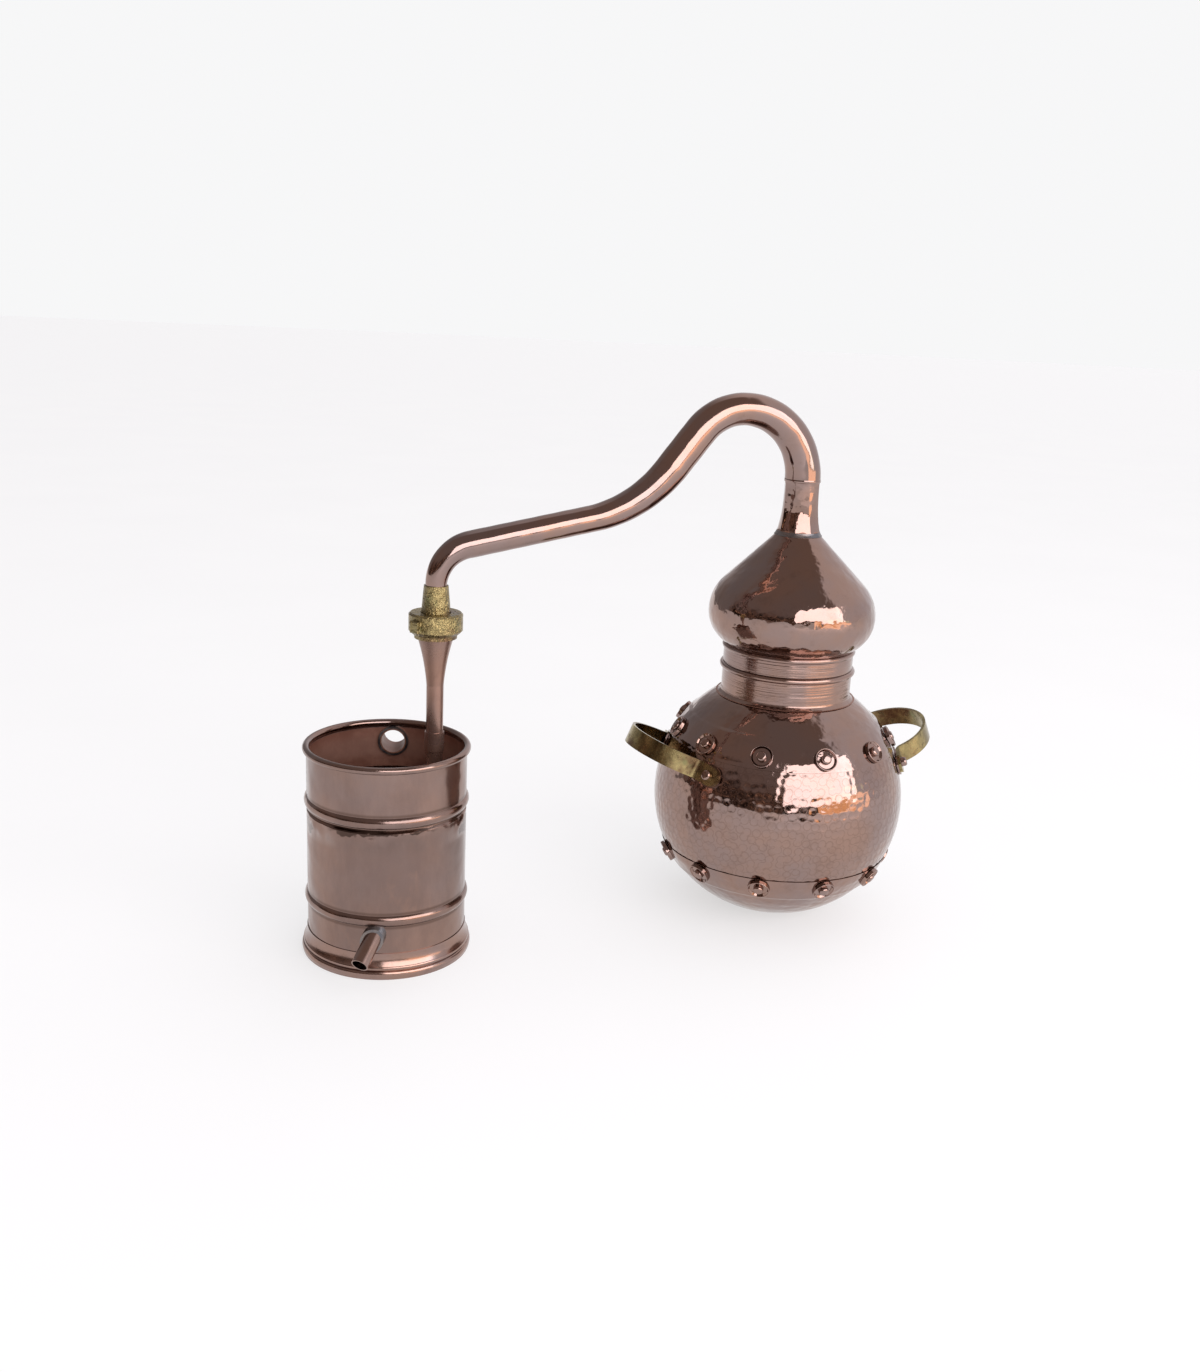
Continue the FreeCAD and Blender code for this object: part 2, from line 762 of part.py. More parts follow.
# ---------------------------------------------------------------- tubes along a route
class Route:
    """Straight runs joined by tangent arcs, with the tube's radius set where the author chooses."""

    def __init__(self, start):
        self.edges = []
        self.ends = [start]

    def line(self, end):
        self.edges.append(Part.makeLine(self.ends[-1], end))
        self.ends.append(end)

    def arc(self, middle, end):
        self.edges.append(Part.Arc(self.ends[-1], middle, end).toShape())
        self.ends.append(end)

    def corner(self, at_point, toward, radius):
        """A run towards at_point, then an arc that leaves it in the direction of toward."""
        start = self.ends[-1]
        back = (start - at_point).normalize()
        onward = (toward - at_point).normalize()
        half = back.getAngle(onward) / 2
        reach = radius / math.tan(half)
        centre = at_point + (back + onward).normalize() * (radius / math.sin(half))
        self.line(at_point + back * reach)
        self.arc(centre + (at_point - centre).normalize() * radius, at_point + onward * reach)

    def directions(self):
        """Direction of travel at the start of the route and at the end of every edge."""
        first = self.edges[0]
        found = [first.tangentAt(first.FirstParameter)]
        found += [edge.tangentAt(edge.LastParameter) for edge in self.edges]
        return found


def pipe(route, radii):
    """Solid round bar along a route; radii gives its radius at the start and after every edge."""
    sections = []
    for spot, way, radius in zip(route.ends, route.directions(), radii):
        sections.append(Part.Wire(Part.makeCircle(radius, spot, way)))
    solids = []
    for edge, first, last in zip(route.edges, sections, sections[1:]):
        solids.append(Part.Wire(edge).makePipeShell([first, last], True, True))
    return solids


def tube(label, route, radii, wall, place=None):
    """Hollow round tube along a route."""
    outer, inner = pipe(route, radii), pipe(route, [r - wall for r in radii])
    shells = [o.cut(i) for o, i in zip(outer, inner)]
    whole = shells[0].multiFuse(shells[1:]) if len(shells) > 1 else shells[0]
    return feature(label, whole, place)


def make_swan_neck():
    rise, fall = S.arch_rise_radius.value, S.arch_fall_radius.value
    apex = V(-rise, 0, S.arch_top_height.value)
    route = Route(V(0, 0, SEAM_HEIGHT))
    rise_middle = V(-rise, 0, SEAM_HEIGHT)
    route.arc(rise_middle + V(rise * cos(45), 0, rise * sin(45)), apex)
    fall_middle = apex - V(0, 0, fall)
    down = S.fall_angle.value
    route.arc(fall_middle + V(-fall * sin(down / 2), 0, fall * cos(down / 2)),
              fall_middle + V(-fall * sin(down), 0, fall * cos(down)))
    slope, reach = math.tan(math.radians(S.run_angle.value)), S.union_reach.value
    last = V(-reach, 0, S.run_end_height.value)
    start, steep = route.ends[-1], math.tan(math.radians(down))
    across = (start.z - last.z - slope * (start.x + reach)) / (steep - slope)
    knee = V(start.x - across, 0, start.z - across * steep)
    route.corner(knee, last, S.elbow_radius.value)
    route.corner(last, last - V(0, 0, 10), S.drop_radius.value)
    route.line(V(-reach, 0, S.nut_top.value))
    radii = [size.value for size in (
        S.tube_foot_radius, S.tube_arch_radius, S.tube_fall_radius, S.tube_fall_radius,
        S.tube_run_radius, S.tube_run_radius, S.tube_end_radius, S.tube_end_radius)]
    tube("swan_neck", route, radii, S.tube_wall.value)


# ---------------------------------------------------------------- screw union
UNION = at(-S.union_reach.value, 0)
NUT_BOTTOM = S.nut_top - S.nut_tall
TAIL_FLANGE_TOP = S.nut_top - S.nut_lip - S.union_gap
TAIL_FLANGE_BOTTOM = TAIL_FLANGE_TOP - S.tail_flange
WASHER_BOTTOM = TAIL_FLANGE_BOTTOM - S.washer_thick


def make_union_tail():
    bore = S.tube_end_radius - S.tube_wall
    turned("union_tail", [
        (bore, TAIL_FLANGE_BOTTOM),
        (S.thread_radius, TAIL_FLANGE_BOTTOM),
        (S.thread_radius, TAIL_FLANGE_TOP),
        (S.tail_foot_radius, TAIL_FLANGE_TOP),
        (S.tail_top_radius, S.tail_top),
        (S.tube_end_radius, S.tail_top),
        (S.tube_end_radius, S.nut_top),
        (bore, S.nut_top),
    ], UNION)
    turned("union_washer", [
        (bore + 1.0, WASHER_BOTTOM),
        (S.thread_radius, WASHER_BOTTOM),
        (S.thread_radius, TAIL_FLANGE_BOTTOM),
        (bore + 1.0, TAIL_FLANGE_BOTTOM),
    ], UNION)


def make_nut():
    """Cast union nut with two lugs for the hand."""
    ease, foot_ease = 1.5, 3.0
    bore = S.thread_radius + S.union_gap
    ring = blank("union_nut", [
        (bore, NUT_BOTTOM),
        (S.nut_radius - foot_ease, NUT_BOTTOM),
        (S.nut_radius, NUT_BOTTOM + foot_ease),
        (S.nut_radius, S.nut_top - ease),
        (S.nut_radius - ease, S.nut_top),
        (S.tail_foot_radius + S.union_gap, S.nut_top),
        (S.tail_foot_radius + S.union_gap, S.nut_top - S.nut_lip),
        (bore, S.nut_top - S.nut_lip),
    ])
    ring.Placement = UNION
    lugs = []
    deep, tall = S.lug_reach.value + 2.0, S.nut_tall.value * 0.55
    low = number(NUT_BOTTOM) + S.nut_tall.value * 0.2
    for turn in (S.lug_turn.value, S.lug_turn.value + 180.0):
        lug = Part.makeBox(deep, S.lug_wide.value, tall, V(S.nut_radius.value - 2.0, -S.lug_wide.value / 2, low))
        lug = lug.makeFillet(1.2, [e for e in lug.Edges if e.CenterOfMass.x > S.nut_radius.value + 1])
        lug.rotate(V(0, 0, 0), UP, turn)
        lug.translate(UNION.Base)
        lugs.append(lug)
    whole = DOC.addObject("Part::MultiFuse", "union_nut")
    whole.Shapes = [ring] + [hidden("lug", lug) for lug in lugs]
    node("union_nut", whole)


def make_male():
    rim_top = NUT_BOTTOM - S.union_gap
    bore = S.cone_top_radius - S.sheet_thick
    turned("union_male", [
        (bore, S.male_rim_bottom),
        (S.male_rim_radius, S.male_rim_bottom),
        (S.male_rim_radius, rim_top),
        (S.thread_radius, rim_top),
        (S.thread_radius, WASHER_BOTTOM - S.union_gap),
        (bore, WASHER_BOTTOM - S.union_gap),
    ], UNION)


def make_cone():
    waist = number(S.cone_top_radius + S.worm_tube) / 2 - S.cone_hollow.value
    middle = number(S.male_rim_bottom + S.cone_bottom_height) / 2
    turned("inlet_cone", [
        (S.cone_top_radius - S.sheet_thick, S.male_rim_bottom),
        (S.cone_top_radius, S.male_rim_bottom, (waist, middle)),
        (S.worm_tube, S.cone_bottom_height),
        (S.worm_tube - S.worm_wall, S.cone_bottom_height, (waist - S.worm_wall.value, middle)),
    ], UNION)


# ---------------------------------------------------------------- worm
BUCKET_SPOT = V(-S.union_reach.value - S.bucket_offset_x.value, -S.bucket_offset_y.value, 0)
BUCKET = FreeCAD.Placement(BUCKET_SPOT, FreeCAD.Rotation())
INLET = V(S.bucket_offset_x.value, S.bucket_offset_y.value, 0)
WORM_DROP = S.worm_bend.value * (1 - sin(S.worm_slope.value))
WORM_RADIUS = math.sqrt(INLET.Length ** 2 - WORM_DROP ** 2)
WORM_PITCH = 2 * math.pi * WORM_RADIUS * math.tan(math.radians(S.worm_slope.value))
WORM_START = math.degrees(math.atan2(INLET.y, INLET.x) - math.atan2(WORM_DROP, WORM_RADIUS))


def heading(degrees, slope):
    """Unit vector along a compass direction, falling by slope degrees."""
    return V(cos(degrees) * cos(slope), sin(degrees) * cos(slope), -sin(slope))


def outlet_wall_spot():
    angle = S.outlet_angle.value
    radius = S.bucket_radius.value
    return V(radius * cos(angle), radius * sin(angle), S.outlet_height.value)


OUTLET_WAY = heading(S.outlet_angle.value - S.outlet_yaw.value, S.outlet_slope.value)
TAIL_CORNER = outlet_wall_spot() - OUTLET_WAY * (S.worm_bend.value * 0.7)


def worm_end():
    """Place and angle of the lower end of the coil, whose tangent meets the corner of the tail."""
    out = math.hypot(TAIL_CORNER.x, TAIL_CORNER.y)
    angle = math.degrees(math.atan2(TAIL_CORNER.y, TAIL_CORNER.x) + math.acos(WORM_RADIUS / out))
    run = math.sqrt(out ** 2 - WORM_RADIUS ** 2)
    rise = run * math.tan(math.radians(S.worm_slope.value))
    spot = V(WORM_RADIUS * cos(angle), WORM_RADIUS * sin(angle), TAIL_CORNER.z + rise)
    return spot, angle


def make_worm():
    """Coil that falls clockwise from the inlet elbow to the outlet tail, in equal bends end to end."""
    low, low_angle = worm_end()
    part_turn = ((WORM_START - low_angle) % 360.0) / 360.0
    turns = S.worm_whole_turns.value + part_turn
    count = math.ceil(turns * S.worm_bends_per_turn.value)
    bend_turn, bend_rise = 360.0 * turns / count, turns * WORM_PITCH / count
    bends = []
    for k in range(count):
        helix = Part.makeHelix(WORM_PITCH, bend_rise, WORM_RADIUS)
        angle = low_angle + k * bend_turn
        start = V(WORM_RADIUS * cos(angle), WORM_RADIUS * sin(angle), low.z + k * bend_rise)
        helix.Placement = FreeCAD.Placement(V(0, 0, start.z), FreeCAD.Rotation(UP, angle))
        way = heading(angle + 90.0, -S.worm_slope.value)
        shells = []
        for radius in (S.worm_tube.value, S.worm_tube.value - S.worm_wall.value):
            section = Part.Wire(Part.makeCircle(radius, start, way))
            shells.append(Part.Wire(helix.Edges).makePipeShell([section], True, True))
        bends.append(shells[0].cut(shells[1]))
    feature("worm_coil", Part.makeCompound(bends), BUCKET)
    return low.z + turns * WORM_PITCH


def make_inlet(coil_top):
    """Drop pipe from the cone, with its elbow into the top of the coil."""
    start = V(WORM_RADIUS * cos(WORM_START), WORM_RADIUS * sin(WORM_START), coil_top)
    way = heading(WORM_START - 90.0, S.worm_slope.value)
    corner_fall = S.worm_bend.value * math.tan(math.radians(90.0 - S.worm_slope.value) / 2)
    corner = start - way * corner_fall
    route = Route(V(INLET.x, INLET.y, S.cone_bottom_height.value))
    route.corner(corner, start + way * 10, S.worm_bend.value)
    tube("inlet_pipe", route, [S.worm_tube.value] * 3, S.worm_wall.value, BUCKET)
    turned("inlet_socket", [
        (S.worm_tube, S.socket_height - S.socket_tall),
        (S.worm_tube + S.socket_wall, S.socket_height - S.socket_tall),
        (S.worm_tube + S.socket_wall, S.socket_height),
        (S.worm_tube, S.socket_height),
    ], UNION)


def make_stays(coil_top):
    """Copper strips that stand on the floor and carry the coil's turns."""
    foot = number(S.floor_height + S.bucket_wall)
    strips = []
    for turn in (30.0, 150.0, 215.0):
        strip = Part.makeBox(S.stay_thick.value, S.stay_wide.value, coil_top - foot,
                             V(WORM_RADIUS + S.worm_tube.value, -S.stay_wide.value / 2, foot))
        strip.rotate(V(0, 0, 0), UP, turn)
        strips.append(strip)
    feature("worm_stays", Part.makeCompound(strips), BUCKET)


# ---------------------------------------------------------------- bucket and its spouts
def wall_outside():
    """Outer line of the wall from its foot to the rolled rim, with both beads."""
    outer, push, half = S.bucket_radius, S.bead_out, S.bead_tall * 0.5
    low, high = S.lower_bead_height, S.upper_bead_height
    return [
        (outer, 0),
        (outer, low - half, (number(outer + push), number(low))),
        (outer, low + half),
        (outer, high - half, (number(outer + push), number(high))),
        (outer, high + half),
    ]


def wall_with_beads():
    outer, inner = S.bucket_radius, S.bucket_radius - S.bucket_wall
    half = S.bead_tall * 0.5
    low, high = S.lower_bead_height, S.upper_bead_height
    push, rim = S.bead_out, S.rim_height
    curl = S.rim_bead
    return [
        (inner, 0),
        *wall_outside(),
        (outer, rim - curl, (number(outer + curl), number(rim))),
        (outer, rim + curl, (number(outer - curl), number(rim))),
        (inner, rim - curl),
        (inner, high + half, (number(inner + push), number(high))),
        (inner, high - half),
        (inner, low + half, (number(inner + push), number(low))),
        (inner, low - half),
    ]


def spout_route():
    """Tail of the worm: from the coil's lower end out through the wall and down to the mouth."""
    low, low_angle = worm_end()
    mouth = outlet_wall_spot() + OUTLET_WAY * S.outlet_length.value
    route = Route(low)
    route.corner(TAIL_CORNER, mouth, S.worm_bend.value)
    route.line(mouth)
    return route


def ring_on(spot, way, inner, outer, long):
    """Ring about an axis, centred on spot."""
    start = spot - way * (long / 2)
    return Part.makeCylinder(outer, long, start, way).cut(Part.makeCylinder(inner, long, start, way))


def make_bucket():
    shell = blank("bucket_shell", wall_with_beads())
    shell.Placement = BUCKET
    wall_spot = outlet_wall_spot()
    outlet_drill = Part.makeCylinder(S.worm_tube.value, 40, wall_spot - OUTLET_WAY * 20, OUTLET_WAY)
    way = heading(S.overflow_angle.value, 0)
    level = V(0, 0, S.overflow_height.value)
    over_drill = Part.makeCylinder(S.overflow_radius.value, 20, level + way * (S.bucket_radius.value - 10), way)
    drills = []
    for name, drill in (("outlet_drill", outlet_drill), ("overflow_drill", over_drill)):
        drill.translate(BUCKET_SPOT)
        drills.append(hidden(name, drill))
    cut("bucket_shell", shell, drills)

    reach = S.bucket_radius.value
    rim_foot = S.rim_height - S.rim_bead
    body = turned_shape([(0, 0), *wall_outside(), (S.bucket_radius, rim_foot), (0, rim_foot)])
    outlet_ring = ring_on(wall_spot, OUTLET_WAY, S.worm_tube.value,
                          S.worm_tube.value + S.spout_collar_wall.value, S.spout_collar_long.value * 5)
    outlet_ring = outlet_ring.cut(body).common(
        Part.makeCylinder(reach + S.spout_collar_long.value, S.rim_height.value))
    feature("outlet_collar", outlet_ring, BUCKET)

    over_ring = ring_on(level + way * reach, way, S.overflow_radius.value,
                        S.overflow_radius.value + S.spout_collar_wall.value, S.spout_collar_long.value * 2)
    bore = Part.makeCylinder(reach - S.bucket_wall.value, S.rim_height.value)
    lining = bore.cut(Part.makeCylinder(reach - S.bucket_wall.value - S.spout_collar_wall.value,
                                        S.rim_height.value))
    rings = [over_ring.cut(body), over_ring.common(lining)]
    feature("overflow_collar", Part.makeCompound(rings), BUCKET)
    start = level + way * (reach - S.bucket_wall.value - S.overflow_inside.value)
    route = Route(start)
    route.line(level + way * (reach + S.overflow_outside.value))
    tube("overflow_pipe", route, [S.overflow_radius.value] * 2, S.overflow_wall.value, BUCKET)
    tube("outlet_spout", spout_route(), [S.worm_tube.value] * 4, S.worm_wall.value, BUCKET)


def make_floor_and_foot():
    outer = S.bucket_radius - S.bucket_wall
    turned("bucket_floor", [
        (0, S.floor_height),
        (outer, S.floor_height),
        (outer, S.floor_height + S.floor_flange),
        (outer - S.bucket_wall, S.floor_height + S.floor_flange),
        (outer - S.bucket_wall, S.floor_height + S.bucket_wall),
        (0, S.floor_height + S.bucket_wall),
    ], BUCKET)
    wall, tall = S.bucket_radius, S.foot_tall
    rim = wall + S.foot_reach
    edge, ledge = rim - S.foot_lip, rim - S.foot_ledge
    bead = (number(rim), number(tall) * 0.17)
    upper_bead = (number(ledge + S.foot_lip), number(tall) * 0.42)
    cove = (number(wall + S.foot_cove), number(tall) * 0.72)
    turned("foot_ring", [
        (wall, 0),
        (edge, 0),
        (edge, tall * 0.04, bead),
        (edge, tall * 0.30),
        (ledge, tall * 0.33, upper_bead),
        (ledge, tall * 0.51, cove),
        (wall + S.foot_top, tall),
        (wall, tall),
    ], BUCKET)


# ---------------------------------------------------------------- build, check and write
def make_all():
    make_pot()
    make_head_collar()
    make_head_ring()
    make_dome()
    make_throat()
    make_swan_neck()
    make_union_tail()
    make_nut()
    make_male()
    make_cone()
    coil_top = make_worm()
    make_inlet(coil_top)
    make_stays(coil_top)
    make_bucket()
    make_floor_and_foot()
    DOC.recompute()


def write_parts():
    bad = [thing.Label for thing in DOC.Objects if {"Invalid", "Error"} & set(thing.State)]
    if bad:
        raise RuntimeError("failed objects: " + ", ".join(bad))
    for made in NODES:
        shape = made.Shape
        if shape.isNull() or not shape.isValid():
            raise RuntimeError(made.Label + " has no sound shape")
    os.makedirs("parts", exist_ok=True)
    for made in NODES:
        made.Shape.exportStep(os.path.join("parts", made.Label + ".step"))
        print(f"{made.Label:22s} {len(made.Shape.Solids):3d} solids {made.Shape.Volume / 1000:9.2f} cm3")


make_all()
write_parts()
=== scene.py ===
# %% [markdown]
# # A small riveted copper still
# The still has three groups: a hammered pot on the floor, an onion head whose swan neck carries the
# vapour across, and a bucket with a cooling worm inside. The sizes come from the imported model, which
# is loaded here as a frame that is neither bent nor moved. Everything below is either a better skin
# for one of its parts, or a finish for a part whose shape is already right.

# %% Load the frame
import math

import bpy
import numpy as np
from mathutils import Matrix, Vector


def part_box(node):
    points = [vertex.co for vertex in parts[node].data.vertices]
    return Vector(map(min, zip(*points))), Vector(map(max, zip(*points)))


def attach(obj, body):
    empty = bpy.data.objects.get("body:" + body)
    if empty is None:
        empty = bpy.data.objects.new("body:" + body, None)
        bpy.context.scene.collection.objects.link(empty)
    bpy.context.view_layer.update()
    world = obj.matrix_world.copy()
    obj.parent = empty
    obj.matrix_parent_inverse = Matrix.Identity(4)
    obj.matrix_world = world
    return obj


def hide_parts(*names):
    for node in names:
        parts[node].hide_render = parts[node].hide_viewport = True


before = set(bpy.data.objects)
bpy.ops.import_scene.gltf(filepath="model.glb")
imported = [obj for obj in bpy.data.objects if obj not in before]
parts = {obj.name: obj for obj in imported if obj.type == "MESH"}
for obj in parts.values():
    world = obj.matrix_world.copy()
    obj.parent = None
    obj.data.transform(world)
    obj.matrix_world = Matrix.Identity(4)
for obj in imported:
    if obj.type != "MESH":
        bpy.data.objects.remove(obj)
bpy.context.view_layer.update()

# %% [markdown]
# ## Camera
# The view is from the front left and a little above, level with the top of the neck, so that the
# mouth of the bucket shows. It is set from a place and three directions, because a slight roll of
# the hand-held view is part of how the still stands in its frame.

# %% Place the camera
EYE = Vector((-0.5403, -1.0348, 0.5134))
SIDE = Vector((0.94343, -0.33158, 0.0))
PITCH, ROLL = math.radians(15.25), math.radians(2.65)


def aim_camera(lens):
    """Camera at EYE: forward is SIDE turned a quarter turn and dipped by PITCH, then rolled."""
    level = Vector((-SIDE.y, SIDE.x, 0.0))
    ahead = level * math.cos(PITCH) - Vector((0, 0, math.sin(PITCH)))
    above = level * math.sin(PITCH) + Vector((0, 0, math.cos(PITCH)))
    across = SIDE * math.cos(ROLL) + above * math.sin(ROLL)
    upward = above * math.cos(ROLL) - SIDE * math.sin(ROLL)
    turn = Matrix((across, upward, -ahead)).transposed()
    data = bpy.data.cameras.new("camera")
    data.lens, data.sensor_width, data.clip_start = lens, 36.0, 0.01
    camera = bpy.data.objects.new("camera", data)
    camera.matrix_world = Matrix.Translation(EYE) @ turn.to_4x4()
    bpy.context.scene.collection.objects.link(camera)
    bpy.context.scene.camera = camera
    return level


AHEAD = aim_camera(34.82)
print("camera looks along", tuple(round(v, 3) for v in AHEAD))

# %% [markdown]
# ## Floor and light
# Polished copper shows its surroundings more than itself. A still like this is seen over a pale
# floor, with one window and a dim front, so the top of every round part goes dark and the lower half
# takes the floor. One soft window, a low warm card and a thin green one give the bright patch in
# front its white, orange and green. The floor glows a little, so the undersides stay readable.

# %% Floor, room and lamps
FLOOR_RADIUS = 40.0
FLOOR_GLOW = 0.60
BACKDROP = (0.93, 0.93, 0.935, 1)


def lay_floor():
    """Flat disc at height zero: radius times cosine and sine of an evenly stepped angle."""
    turn = np.linspace(0, 2 * np.pi, 96, endpoint=False)
    rim = np.stack([FLOOR_RADIUS * np.cos(turn), FLOOR_RADIUS * np.sin(turn), 0 * turn], 1)
    mesh = bpy.data.meshes.new("studio_floor")
    mesh.from_pydata(rim.tolist(), [], [list(range(len(rim)))])
    floor = bpy.data.objects.new("studio_floor", mesh)
    bpy.context.scene.collection.objects.link(floor)
    return floor


def soft_lamp(name, place, target, size, power, colour):
    """Area lamp at place, facing target; size is its width and height."""
    data = bpy.data.lights.new(name, "AREA")
    data.shape, data.size, data.size_y = "RECTANGLE", size[0], size[1]
    data.energy, data.color = power, colour
    lamp = bpy.data.objects.new(name, data)
    lamp.visible_camera = False
    aim = (Vector(target) - Vector(place)).to_track_quat("-Z", "Y")
    lamp.matrix_world = Matrix.Translation(Vector(place)) @ aim.to_matrix().to_4x4()
    bpy.context.scene.collection.objects.link(lamp)
    return lamp


def overhead_glow(strength, soft):
    """Wide soft sun straight down, left out of reflections: it lights the whole floor evenly."""
    data = bpy.data.lights.new("overhead_glow", "SUN")
    data.energy, data.angle, data.color = strength, math.radians(soft), (0.97, 0.98, 1.0)
    lamp = bpy.data.objects.new("overhead_glow", data)
    lamp.visible_glossy = False
    bpy.context.scene.collection.objects.link(lamp)


floor = lay_floor()
overhead_glow(1.35, 110)
soft_lamp("window", (0.62, -2.38, 1.24), (0.0, 0.0, 0.5), (3.6, 1.65), 70, (1.0, 0.96, 0.98))
soft_lamp("warm_card", (1.30, -1.75, 0.22), (0.0, 0.0, 0.2), (2.2, 0.34), 4.6, (1.0, 0.56, 0.27))
soft_lamp("green_card", (1.35, -1.70, 0.53), (0.0, 0.0, 0.3), (1.3, 0.20), 0.60, (0.50, 0.62, 0.22))

# %% [markdown]
# ## Writing shader maths
# A finish is built from many small sums. One short class wraps a socket, so that sums are written as
# Python and the nodes appear by themselves. Colours and vectors use Mix and Vector Math instead,
# because a plain Math node would turn a colour grey.

# %% Shader helper


class Wire:
    """A node socket that can be added, multiplied and so on; each operation adds a Math node."""

    def __init__(self, tree, socket):
        self.tree, self.socket = tree, socket

    def node(self, kind, settings=None, inputs=None, out=0):
        """Adds a node of this type: settings first, then the values or wires of its sockets."""
        made = self.tree.nodes.new(kind)
        for key, value in (settings or {}).items():
            setattr(made, key, value)
        for key, value in (inputs or {}).items():
            socket = made.inputs[key]
            if isinstance(value, Wire):
                self.tree.links.new(value.socket, socket)
            else:
                socket.default_value = value
        return Wire(self.tree, made.outputs[out])

    def math(self, operation, *values):
        """Math node of this operation, with the values or wires in the order of its sockets."""
        return self.node("ShaderNodeMath", {"operation": operation}, dict(enumerate(values)))

    def __add__(self, other):
        return self.math("ADD", self, other)

    def __sub__(self, other):
        return self.math("SUBTRACT", self, other)

    def __rsub__(self, other):
        return self.math("SUBTRACT", other, self)

    def __mul__(self, other):
        return self.math("MULTIPLY", self, other)

    __radd__, __rmul__ = __add__, __mul__

    def root(self):
        return self.math("SQRT", self)

    def step(self, low, high):
        """0 below low, 1 above high, a smooth rise between."""
        return self.node("ShaderNodeMapRange", {"interpolation_type": "SMOOTHSTEP"},
                         {"Value": self, "From Min": low, "From Max": high})

    def blend(self, first, second):
        """Colour first where this wire is 0 and second where it is 1."""
        return self.node("ShaderNodeMix", {"data_type": "RGBA"},
                         {"Factor": self, 6: first, 7: second}, out=2)

    def noise(self, scale, detail=3.0, rough=0.5, stretch=(1, 1, 1)):
        """Soft noise along this vector, squeezed by stretch."""
        spot = self.node("ShaderNodeVectorMath", {"operation": "MULTIPLY"}, {0: self, 1: stretch})
        return spot.node("ShaderNodeTexNoise", None,
                         {"Vector": spot, "Scale": scale, "Detail": detail, "Roughness": rough})


def start_finish(name):
    """New material: returns it, its shader node and a wire of the piece's own coordinates."""
    finish = bpy.data.materials.new(name)
    finish.use_nodes = True
    tree = finish.node_tree
    shader = next(n for n in tree.nodes if n.type == "BSDF_PRINCIPLED")
    spot = Wire(tree, tree.nodes.new("ShaderNodeTexCoord").outputs["Object"])
    return finish, shader, spot


def connect(shader, **wires):
    """Links wires to sockets, named with underscores, and sets plain numbers and colours."""
    for key, value in wires.items():
        socket = shader.inputs[key.replace("_", " ")]
        if isinstance(value, Wire):
            value.tree.links.new(value.socket, socket)
        else:
            socket.default_value = value


def bumped(height, distance, strength=1.0, under=None):
    """Normal of a surface raised by height (0 to 1) times distance, in metres."""
    inputs = {"Height": height, "Distance": distance, "Strength": strength}
    if under is not None:
        inputs["Normal"] = under
    return height.node("ShaderNodeBump", None, inputs)


def sides(spot):
    """The x, y and z of a coordinate wire."""
    return [spot.node("ShaderNodeSeparateXYZ", None, {"Vector": spot}, out=k) for k in range(3)]


print("shader helper ready")

# %% [markdown]
# ## The room's colour
# What the copper reflects depends only on direction: dark and ragged low in front, like trees through
# a door, a dim brown above that, and pale behind and to the right. The camera itself sees a plain
# pale backdrop instead.

# %% Room


def light_room():
    """World whose colour mixes front, back and right by direction; camera rays get BACKDROP."""
    world = bpy.data.worlds.new("room")
    world.use_nodes = True
    bpy.context.scene.world = world
    tree = world.node_tree
    tree.nodes.clear()
    way = Wire(tree, tree.nodes.new("ShaderNodeTexCoord").outputs["Generated"])
    east, north, height = sides(way)
    across = east * SIDE.x + north * SIDE.y
    behind = (east * AHEAD.x + north * AHEAD.y + across.step(0.30, 0.80) * 0.62).step(0.10, 0.34)
    right = across.step(-0.5, 0.35)
    leaves = way.noise(6.0, 6.0, 0.72).step(0.44, 0.58)
    low_front = leaves.blend((0.020, 0.013, 0.011, 1), (0.24, 0.150, 0.112, 1))
    glint = way.noise(11.0, 4.0, 0.7).step(0.60, 0.64) * (1 - height.step(0.30, 0.60))
    low_front = glint.blend(low_front, (0.95, 0.60, 0.40, 1))
    top_edge = (height + way.noise(4.0, 4.0, 0.7) * 0.5).step(0.42, 0.74)
    front = top_edge.blend(low_front, (0.29, 0.235, 0.215, 1))
    back = right.blend((0.30, 0.285, 0.29, 1), (0.92, 0.90, 0.94, 1))
    seen = behind.blend(front, back)
    camera_ray = Wire(tree, tree.nodes.new("ShaderNodeLightPath").outputs["Is Camera Ray"])
    shown = camera_ray.blend(seen, BACKDROP)
    light = way.node("ShaderNodeBackground", None, {"Color": shown, "Strength": 1.0})
    out = tree.nodes.new("ShaderNodeOutputWorld")
    tree.links.new(light.socket, out.inputs["Surface"])


light_room()
bpy.context.scene.view_settings.view_transform = "Standard"
finish, shader, spot = start_finish("studio_grey")
connect(shader, Base_Color=spot.noise(3.0).blend((0.32, 0.32, 0.33, 1), (0.35, 0.35, 0.36, 1)),
        Roughness=0.8, Emission_Color=(1.0, 1.0, 1.0, 1), Emission_Strength=FLOOR_GLOW)
floor.data.materials.append(finish)
print("room ready")

# %% [markdown]
# ## Copper
# The pot and head are beaten from sheet, then polished, and have gone mauve-brown in the air, warmer
# in patches. Colour and gloss both drift in soft patches a few centimetres wide, darker smears lie
# over them, and a very fine grain breaks up every highlight. The polished sheet keeps broad dents and
# a fine ripple from planishing. The spun collars carry turning lines, a noise squeezed along the
# height. The inside was never polished and stays dull.

# %% Copper finishes
GRAIN = 900.0
GRAIN_DEPTH = 0.00002


def darker(colour, share):
    return tuple(c * share for c in colour[:3]) + (1,)


